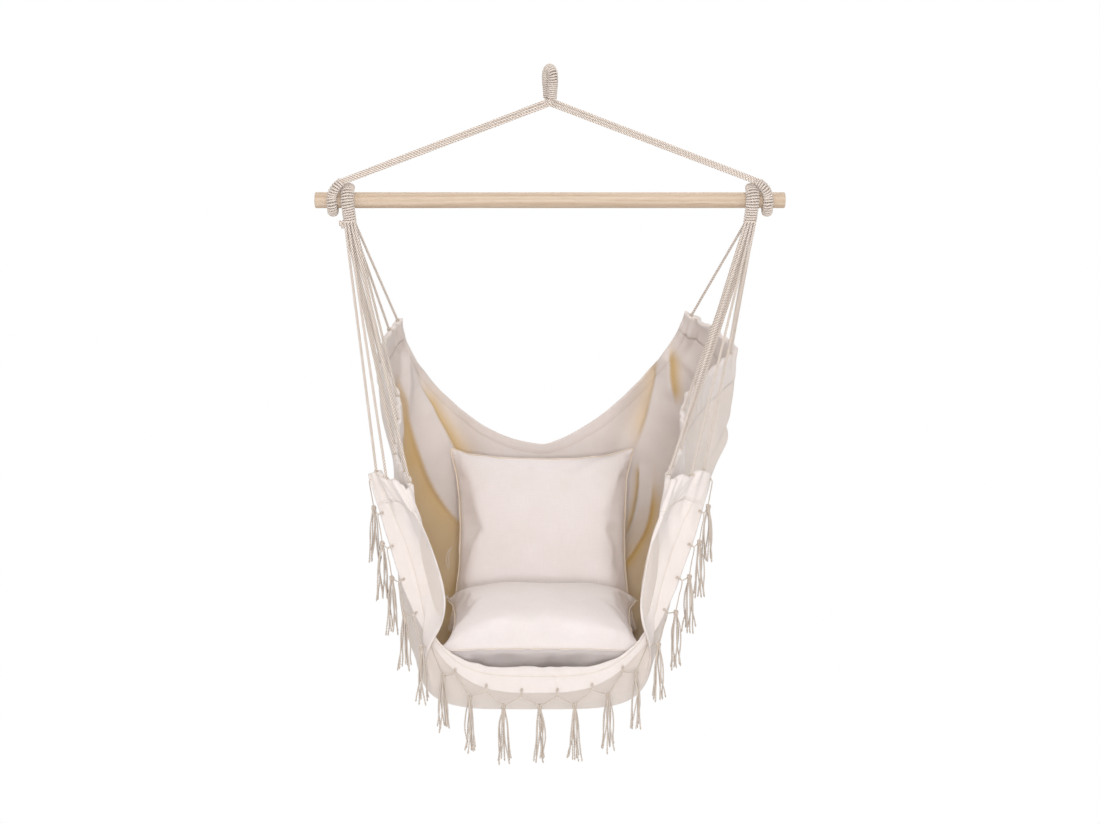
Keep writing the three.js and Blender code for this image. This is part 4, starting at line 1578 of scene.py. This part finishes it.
@dataclass
class SideHem:
    """One side hem: the canvas turned over the cords and sewn down on both faces."""

    side: Side
    cloth: HungCloth
    rows: int = 420
    tube: float = 0.0060
    stand: float = 0.0010
    gather: float = 0.0012

    def build(self, finishes: Finishes) -> list[bpy.types.Object]:
        """Makes the hem and its seam.

        Args:
            finishes: The chair's finishes.

        Returns:
            The hem, then its stitches.
        """
        s = self.side.value
        t = np.linspace(0, 1, self.rows)
        v = self.cloth.row(t)
        share = np.linspace(1 - self.cloth.hem_share, 1, 9)
        net, normal = (part[:, ::s] for part in self.cloth.surface((share * s)[::s], v))
        edge = net[:, -1]
        beyond = unit(net[:, -1] - net[:, -3])
        face = unit(normal[:, -1] - beyond * (normal[:, -1] * beyond).sum(-1, keepdims=True))
        pucker = Ripples(61 + s, 0.05, 0.016, 6).at(v)
        lift = self.cloth.thickness / 2 + self.stand
        ramp = np.array([0.55, 0.8, 1, 1, 1, 1, 1.1, 1.3, 1.6])
        wave = np.array([0.2, 0.6, 1, 1.1, 1, 0.9, 0.8, 0.7, 0.6])
        clear = np.array([0.1, 0.7, 1, 1, 1, 1, 1, 1, 1])
        thick = lift * ramp + self.gather * (pucker[:, None] * wave + clear)
        upper = net + normal * thick[..., None]
        lower = net - normal * (thick + 0.0003)[..., None]
        angle = np.radians(np.linspace(40, 140, 9))
        size = self.tube * (1 + 0.10 * pucker)[:, None]
        round_ = (
            (edge + beyond * self.cloth.cord_beyond)[:, None]
            + face[:, None] * (size * np.cos(angle))[..., None]
            + beyond[:, None] * (size * np.sin(angle))[..., None]
        )
        rings = np.concatenate([upper, round_, lower[:, ::-1]], axis=1)[:, ::-s]
        count = rings.shape[1]
        flat = np.stack(np.broadcast_arrays(np.arange(count) * 0.007, v[:, None] * self.cloth.length), -1)
        skin = Skin()
        add_tube(skin, rings, flat, np.zeros((self.rows, count)))
        name = f"{self.side.label}_side_hem"
        hem = dressed(skin.made(f"{name}_sewn"), finishes.canvas, Body.SEAT, name)
        sewn = Skin()
        for layer, sign in ((upper, 1), (lower, -1)):
            add_stitches(sewn, layer[:, 1] + normal[:, 1] * sign * 0.0002, normal[:, 1] * sign)
        return [hem, dressed(sewn.made(f"{name}_stitches"), finishes.thread, Body.SEAT)]


@dataclass
class Fringe:
    """The knotted net under the front hem and its tassels."""

    cloth: HungCloth
    tassels: int = 17
    length: float = 0.122
    drop: float = 0.020
    stand: float = 0.030
    cord: float = 0.0016
    yarns: int = 8
    rise: float = 0.005
    proud: float = 0.0042
    seed: int = 7

    def net_points(self) -> tuple[Array, Array]:
        """The net's corners and the places on the hem above them.

        Returns:
            The corners, of which every second one is a tassel's knot, and the hem's places.
        """
        fine = 480
        across = np.linspace(-1, 1, fine + 1)
        edge = self.cloth.plain(across, 1)
        before = self.cloth.plain(across, 1 - self.cloth.thickness / self.cloth.rim_depth)
        run = run_along(edge)
        count = 2 * self.tassels + 1
        i = np.clip(np.searchsorted(run, run[-1] * np.arange(count) / (count - 1)), 1, fine - 1)
        beyond = unit(edge[i] - before[i])
        clear = self.cloth.thickness + 3 * self.cord
        n = np.arange(count)
        knot = n % 2 == 1
        lean = np.sin(math.pi * n / self.tassels) ** 2
        heads = edge[i] + beyond * np.where(knot, 0.9 * clear, 0)[:, None]
        heads[:, 2] -= np.where(knot, self.drop, 0)
        heads[:, 1] -= np.where(knot, self.stand, 0) * lean
        on = self.cloth.plain(across, 1 - self.rise / self.cloth.length)[i]
        face = unit(np.cross(np.gradient(edge, axis=0), before - edge))[i]
        ties = on + face * self.proud + 0.001 * UP
        return np.where(knot[:, None], heads, ties), edge[i] + beyond * 0.45 * clear + face * 0.003

    def build(self, finishes: Finishes) -> list[bpy.types.Object]:
        """Makes the net and each tassel.

        Args:
            finishes: The chair's finishes.

        Returns:
            The net, then the tassels.
        """
        chance = np.random.default_rng(self.seed)
        points, hem = self.net_points()
        skin = Skin()
        for n in range(1, len(points), 2):
            join = points[n]
            for m in (n - 1, n + 1):
                over = hem[m] + (0, -0.002, 0)
                beside = over * 0.45 + join * 0.55 + (0, -0.001, -0.0015)
                chain = [points[m], over, beside, join, join + (join - beside) * 0.05]
                NET_CORD.lay_along(skin, curved(chain, NET_CORD.step))
            add_knot(skin, NET_CORD, join, 0.0030)
        for tie in points[::2]:
            add_knot(skin, NET_CORD, tie, 0.0019)
        pieces = [dressed(skin.made("fringe_net_laid"), finishes.yarn, Body.SEAT, "fringe_net")]
        for n, head in enumerate(points[1::2], 1):
            skin = Skin()
            self._tassel(skin, head, chance)
            name = f"tassel_{n:02d}"
            pieces.append(dressed(skin.made(f"{name}_yarns"), finishes.yarn, Body.SEAT, name))
        return pieces

    def _tassel(self, skin: Skin, at: Array, chance: np.random.Generator) -> None:
        """Adds one tassel: its knotted head, its yarns and the knot at each yarn's end.

        Args:
            skin: The mesh that it joins.
            at: Where its head is.
            chance: The source of its unevenness.
        """
        add_knot(skin, NET_CORD, at + 0.0015 * DOWN, 0.0036)
        add_knot(skin, NET_CORD, at + 0.0060 * DOWN, 0.0032)
        t = turns_round(18)
        tie = np.stack([0.0011 * np.cos(t), 0.0011 * np.sin(t), 0.0006 * np.sin(2 * t)], 1)
        tie = np.vstack([tie, tie[:2]])
        length = self.length * chance.uniform(0.97, 1.0)
        start = chance.uniform(0, 2 * math.pi)
        for n in range(self.yarns):
            around = start + 2 * math.pi * n / self.yarns + chance.uniform(-0.3, 0.3)
            foot = chance.uniform(0.007, 0.0165)
            belly = chance.uniform(0.0050, 0.0120)
            reach = length * chance.uniform(0.84, 1.0) + 0.004
            way = np.array([math.cos(around), 0.8 * math.sin(around), 0])
            twist = np.array([-way[1], way[0], 0]) * chance.uniform(-0.007, 0.007)
            chain = (
                (0.0012, 0, 0), (0.0030, 0, 0.07), (belly * 0.8, 1, 0.32), (belly, 0.4, 0.62),
                (foot * 0.85, -0.4, 0.86), (foot, -1, 1),
            )
            route = curved([
                at + way * out + twist * aside + (0.004 + reach * share) * DOWN for out, aside, share in chain
            ], YARN.step)
            YARN.lay_along(skin, route, around)
            YARN_KNOT.lay_along(skin, route[-3] + tie)


# Cushions

CLOTH = {
    "quality": 6, "mass": 0.25, "tension_stiffness": 25, "compression_stiffness": 25,
    "shear_stiffness": 10, "bending_stiffness": 6, "use_pressure": True, "uniform_pressure_force": 4,
}
CLOTH_FRAMES = 20
SEAT_TILT = math.radians(3.5)
SEAT_FRONT = (-0.372, -BAR_DROP - 0.884)
BACK_LEAN = math.radians(28)
BACK_FOOT = (0.077, -BAR_DROP - 0.994)


def points_of(mesh: bpy.types.Mesh) -> Array:
    """Reads a mesh's points.

    Args:
        mesh: The mesh.

    Returns:
        The points, one a row.
    """
    points = np.empty(3 * len(mesh.vertices))
    mesh.vertices.foreach_get("co", points)
    return points.reshape(-1, 3)


@dataclass
class Cushion:
    """A square cushion: a sewn cover that is open along one edge, and the filled pad inside it.

    Its own frame has the crowned faces up and down, and the opening along the edge at -Y.
    """

    name: str
    body: Body
    place: Vector
    turn: Euler
    seed: int
    tie: tuple[float, float, float]
    side: float = 0.43
    thick: float = 0.132
    cut: float = 0.452
    seam_out: float = 0.0034
    half_seam: float = 0.0011
    draw: float = 0.07
    slit: float = 0.30
    inset: float = 0.007
    squares: int = 60
    most: float = 0.026
    step: float = 0.0022

    def faces(self, side: float, crown: float, draw: float, wrinkle: float) -> tuple[Array, Array]:
        """The crowned form of a cushion.

        Args:
            side: From corner to corner.
            crown: The height of the middle over the seam.
            draw: How far the sides pull in between the corners, as a share.
            wrinkle: How strong its wrinkles are.

        Returns:
            The upper face and the lower face, which meet at the seam.
        """
        s = np.sin(np.linspace(-1, 1, self.squares + 1) * math.pi / 2)
        a, b = np.meshgrid(s, s)
        nets = []
        for sign, shift in ((1, 0), (-1, 100)):
            rim = 1 - np.maximum(np.abs(a), np.abs(b))
            swell = np.sqrt(np.maximum((1 - a**4) * (1 - b**4), 0))
            along_x = Ripples(self.seed + shift, 0.3, 0.07, 6).at(a) * np.exp(-(1 - np.abs(b)) / 0.16)
            along_y = Ripples(self.seed + shift + 1, 0.3, 0.07, 6).at(b) * np.exp(-(1 - np.abs(a)) / 0.16)
            soft = Ripples(self.seed + shift + 2, 1.1, 0.5, 4).at(a + 0.5 * b)
            height = wrinkle * (0.0035 * (along_x + along_y) + 0.0022 * soft) * np.clip(rim / 0.05, 0, 1)
            x = side / 2 * a * (1 - draw * (1 - b * b))
            y = side / 2 * b * (1 - draw * (1 - a * a))
            nets.append(np.stack([x, y, sign * (crown * swell) + height], -1))
        return nets[0], nets[1]

    def sewn(self, upper: Array, lower: Array, lift: float) -> Skin:
        """Joins two faces along their rim.

        Args:
            upper: The upper face's net.
            lower: The lower face's net, with the same rim.
            lift: How far the two faces part at the middle of the slit, or 0 to sew it shut.

        Returns:
            The skin.
        """
        count = upper.shape[0]
        ids = np.arange(count * count).reshape(count, count)
        row, column = np.indices((count, count))
        rim = (row == 0) | (row == count - 1) | (column == 0) | (column == count - 1)
        open_ = (row == 0) & (np.abs(upper[..., 0]) < self.slit / 2) & (lift > 0)
        part = lift * np.sqrt(np.maximum(1 - (upper[..., 0] * 2 / self.slit) ** 2, 0)) * open_
        upper, lower = upper.copy(), lower.copy()
        upper[..., 2] += part
        lower[..., 2] -= part
        joined = rim & ~open_
        other = ids.copy()
        other[~joined] = count * count + np.arange(int((~joined).sum()))
        quads = net_quads(count, count)
        both = np.vstack([quads, other.ravel()[quads][:, ::-1]])
        s = np.linspace(-0.5, 0.5, count) * self.cut
        flat = np.stack(np.meshgrid(s, s), -1)
        points = np.vstack([upper.reshape(-1, 3), lower[~joined]])
        places = np.vstack([flat.reshape(-1, 2), flat[~joined] + self.cut])
        skin = Skin()
        skin.add(points, both, None, places, np.zeros(len(points)))
        return skin

    def filled(self) -> tuple[Array, Array]:
        """Returns:
            The cover's two faces as its filling holds them.
        """
        width, crown = self.side - 2 * self.seam_out, self.thick / 2
        upper, lower = self.faces(0.985 * self.cut, 0.86 * crown, 0.05, 0.9)
        piece = self.sewn(upper, lower, 0.0).made(f"{self.name}_trial")
        moved = self._swell(piece)
        bpy.data.objects.remove(piece)
        moved = moved * (np.array([width, width, 2 * crown]) / np.ptp(moved, axis=0))
        moved = moved - (moved.max(0) + moved.min(0)) / 2
        count = upper.shape[0]
        ids = np.arange(count * count).reshape(count, count)
        inner = np.zeros((count, count), bool)
        inner[1:-1, 1:-1] = True
        other = ids.copy()
        other[inner] = count * count + np.arange(int(inner.sum()))
        return moved[ids], moved[other]

    def _swell(self, piece: bpy.types.Object) -> Array:
        """Runs the cloth simulation on a sewn net.

        Args:
            piece: The net.

        Returns:
            Its points when swollen, none further from its start than the cap.
        """
        scene = bpy.context.scene
        start = points_of(piece.data)
        modifier = piece.modifiers.new("cloth", "CLOTH")
        for setting, value in CLOTH.items():
            setattr(modifier.settings, setting, value)
        modifier.settings.effector_weights.gravity = 0
        modifier.collision_settings.use_collision = False
        for moment in range(1, CLOTH_FRAMES + 1):
            scene.frame_set(moment)
        shown = piece.evaluated_get(bpy.context.evaluated_depsgraph_get())
        move = points_of(shown.data) - start
        piece.modifiers.remove(modifier)
        scene.frame_set(1)
        far = np.linalg.norm(move, axis=1, keepdims=True)
        log.info("%s: swollen by up to %.0f mm", self.name, 1000 * float(far.max()))
        return start + move * (self.most * np.tanh(far / self.most) / np.maximum(far, 1e-9))

    def edge(self, skin: Skin, net: Array) -> None:
        """Adds the sewn edge that stands out from the seam, except along the slit, with painted shade at its
        root.

        Args:
            skin: The mesh that it joins.
            net: A face's net, whose rim is the seam.
        """
        front, right, back, left = net[0], net[:, -1], net[-1][::-1], net[:, 0][::-1]
        loop = np.vstack([front[:-1], right[:-1], back[:-1], left])
        middle = len(front) // 2
        loop = np.vstack([loop[middle:-1], loop[:middle + 1]])
        path = eased(evenly(loop, self.step), self.step, 0.010)
        path = path[~((path[:, 1] < -0.45 * self.side) & (np.abs(path[:, 0]) < self.slit / 2))]
        ahead = unit(np.gradient(path, axis=0))
        out = unit(np.cross(ahead, UP))
        up = np.cross(out, ahead)
        run = np.arange(len(path)) * self.step
        wave = Ripples(self.seed + 51, 0.07, 0.02, 6).at(run)
        width = self.seam_out * (1 + 0.12 * Ripples(self.seed + 52, 0.09, 0.03, 5).at(run))
        section = ((-0.4, 1.5), (0.4, 1.0), (0.92, 0.8), (1.0, 0), (0.92, -0.8), (0.4, -1.0), (-0.4, -1.5))
        rings = np.stack([
            path + out * (width * o)[:, None] + up * (self.half_seam * (z + wave * max(o, 0)))[:, None]
            for o, z in section
        ], 1)
        flat = np.stack(np.broadcast_arrays(np.arange(len(section)) * 0.002, run[:, None]), -1)
        # painted shade line where the edge meets the cover
        painted_root_shade = np.array([0.7, 0.45, 0, 0, 0, 0.45, 0.7])
        add_tube(skin, rings, flat, np.broadcast_to(painted_root_shade, rings.shape[:2]))

    def settle(self, piece: bpy.types.Object) -> bpy.types.Object:
        """Puts a piece made in the cushion's own frame into its place."""
        piece.data.transform(Matrix.Translation(self.place) @ self.turn.to_matrix().to_4x4())
        return piece

    def build(self, finishes: Finishes) -> None:
        """Makes the cover, its sewn edge, its ties and the pad.

        Args:
            finishes: The chair's finishes.
        """
        upper, lower = self.filled()
        cover = self.sewn(upper, lower, 0.0035).made(f"{self.name}_cover_sewn")
        bpy.context.view_layer.objects.active = cover
        fine = cover.modifiers.new("fine", "SUBSURF")
        fine.levels = 1
        thick = cover.modifiers.new("cloth", "SOLIDIFY")
        thick.thickness = 0.0014
        thick.offset = -1
        for modifier in (fine.name, thick.name):
            bpy.ops.object.modifier_apply(modifier=modifier)
        self.settle(cover)
        dressed(cover, finishes.cover, self.body, f"{self.name}_cover")
        rim = Skin()
        self.edge(rim, upper)
        dressed(self.settle(rim.made(f"{self.name}_cover_seam")), finishes.cover, self.body)
        self._tie(finishes)
        smaller = 1 - 2 * self.inset / np.array([self.side, self.side, self.thick])
        pad = self.settle(self.sewn(upper * smaller, lower * smaller, 0.0).made(f"{self.name}_pad_filled"))
        dressed(pad, finishes.filling, self.body, f"{self.name}_pad")

    def _tie(self, finishes: Finishes) -> None:
        """Makes the two ends of the thin tie cord at the cover's edge.

        Args:
            finishes: The chair's finishes.
        """
        x, y, length = self.tie
        side = math.copysign(1, x)
        start = np.array([x * self.side / 2, y * self.side / 2, 0.002])
        skin = Skin()
        for bend in (0.006, 0.011):
            chain = [
                start,
                start + (side * bend * 0.6, -0.2 * length, 0.004),
                start + (side * bend, -0.6 * length, 0.003),
                start + (side * bend * 0.5, -length * (0.8 + 20 * bend), 0.005),
            ]
            TIE_CORD.lay_along(skin, curved(chain, TIE_CORD.step))
        piece = self.settle(skin.made(f"{self.name}_ties"))
        dressed(piece, finishes.cord, self.body)


# Camera, light and floor


@dataclass(frozen=True)
class Lamp:
    """A soft square light."""

    name: str
    place: tuple[float, float, float]
    size: float
    power: float
    tint: tuple[float, float, float] = (0.975, 0.98, 1.0)
    target: tuple[float, float, float] = (0, 0, -0.75)

    def build(self) -> None:
        """Makes the light and turns it to its target."""
        data = bpy.data.lights.new(self.name, "AREA")
        data.size = self.size
        data.energy = self.power
        data.color = self.tint
        lamp = bpy.data.objects.new(self.name, data)
        lamp.location = self.place
        way = Vector(self.target) - Vector(self.place)
        lamp.rotation_euler = way.to_track_quat("-Z", "Y").to_euler()
        bpy.context.scene.collection.objects.link(lamp)


@dataclass
class Studio:
    """The photograph's viewpoint, plain soft light and a pale floor."""

    distance: float = 4.76
    height: float = 0.412
    pitch: float = 13.5
    lens: float = 73.6
    floor: float = -2.2
    floor_reach: float = 14.0
    floor_colour: Colour = (0.9, 0.9, 0.9, 1.0)
    lamps: tuple[Lamp, ...] = (
        Lamp("key", (-3.4, -2.2, 1.9), 2.4, 18),
        Lamp("fill", (3.6, -2.0, 1.2), 2.4, 14),
        Lamp("front", (0.2, -8.0, 0.9), 2.2, 285),
        Lamp("top", (0.1, -2.6, 2.6), 2.4, 46),
        Lamp("rear", (0.6, 3.2, 1.8), 2.6, 72),
    )
    sky: Colour = (1.0, 0.975, 0.95, 1.0)
    sky_level: float = 0.59

    def build(self) -> None:
        """Makes the camera, the lights, the world and the floor."""
        self._camera()
        for lamp in self.lamps:
            lamp.build()
        self._world()
        self._floor()
        bpy.context.scene.view_settings.view_transform = "Standard"

    def _camera(self) -> None:
        """Makes the camera and makes it the scene's own."""
        data = bpy.data.cameras.new("camera")
        data.lens = self.lens
        data.sensor_width = 36
        data.clip_end = 60
        camera = bpy.data.objects.new("camera", data)
        camera.location = (0, -self.distance, self.height)
        camera.rotation_euler = (math.radians(90 - self.pitch), 0, 0)
        bpy.context.scene.collection.objects.link(camera)
        bpy.context.scene.camera = camera

    def _world(self) -> None:
        """Makes a world that is white to the camera and a soft grey light to the chair."""
        world = bpy.data.worlds.new("studio")
        bpy.context.scene.world = world
        world.use_nodes = True
        n = Nodes(world.node_tree)
        soft = n.tree.nodes["Background"]
        soft.inputs["Color"].default_value = self.sky
        soft.inputs["Strength"].default_value = self.sky_level
        white = n.node("ShaderNodeBackground", {}, {"Color": WHITE})
        path = n.node("ShaderNodeLightPath")
        seen = n.value(path, "Is Camera Ray")
        for kind in ("Is Glossy Ray", "Is Transmission Ray"):
            seen = seen.most(n.value(path, kind))
        sides = {0: seen, 1: soft.outputs[0], 2: white.outputs[0]}
        n.end("World Output", n.node("ShaderNodeMixShader", {}, sides))

    def _floor(self) -> None:
        """Makes the floor far enough below that the chair's shadow falls out of the photograph's view."""
        s = Shader("floor")
        s.hold(Roughness=0.9, Base_Color=self.floor_colour)
        glow = s.node("ShaderNodeEmission", {}, {"Color": WHITE, "Strength": 1.0})
        seen = s.value(s.node("ShaderNodeLightPath"), "Is Camera Ray")
        place = s.node("ShaderNodeSeparateXYZ", {}, {0: s.place()})
        far = (s.value(place, 0) ** 2 + s.value(place, 1) ** 2) ** 0.5
        away = s.value(s.node("ShaderNodeClamp", {}, {0: (far - 0.5) * 1.6}))
        sides = {0: seen * (away * 0.45 + 0.55), 1: s.surface.outputs[0], 2: glow.outputs[0]}
        s.end("Material Output", s.node("ShaderNodeMixShader", {}, sides))
        corners = np.array([[-1, -1, 0], [1, -1, 0], [1, 1, 0], [-1, 1, 0]]) * self.floor_reach
        skin = Skin()
        skin.add(corners + self.floor * UP, np.array([[0, 1, 2, 3]]))
        floor = skin.made("floor")
        floor.data.materials.append(s.material)


def main() -> None:
    """Builds the studio, then the chair piece by piece."""
    logging.basicConfig(level=logging.INFO, format="%(message)s")
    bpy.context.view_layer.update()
    finishes = Finishes()
    cloth = HungCloth()
    Studio().build()
    HangingLoop().build(finishes)
    Arms().build(finishes)
    SpreaderBar().build(finishes)
    sling = Sling(cloth)
    sheet, *with_sheet = sling.build(finishes)
    for side in Side:
        Hitch(side).build(finishes)
        FanCords(side, cloth).build(finishes)
        with_sheet += SideHem(side, cloth).build(finishes)
    with_sheet += Fringe(cloth).build(finishes)
    half = Cushion.side / 2
    seat = Vector((cloth.shift, *SEAT_FRONT)) + half * Vector((0, math.cos(SEAT_TILT), -math.sin(SEAT_TILT)))
    back = Vector((cloth.shift, *BACK_FOOT)) + half * Vector((0, math.sin(BACK_LEAN), math.cos(BACK_LEAN)))
    Cushion("seat_cushion", Body.SEAT_CUSHION, seat, Euler((-SEAT_TILT, 0, math.pi), "ZYX"), 3,
            tie=(0.97, -0.95, 0.02)).build(finishes)
    Cushion("back_cushion", Body.BACK_CUSHION, back, Euler((math.pi / 2 - BACK_LEAN, 0, 0)), 17,
            tie=(-0.97, -0.1, 0.05)).build(finishes)


if __name__ == "__main__":
    main()
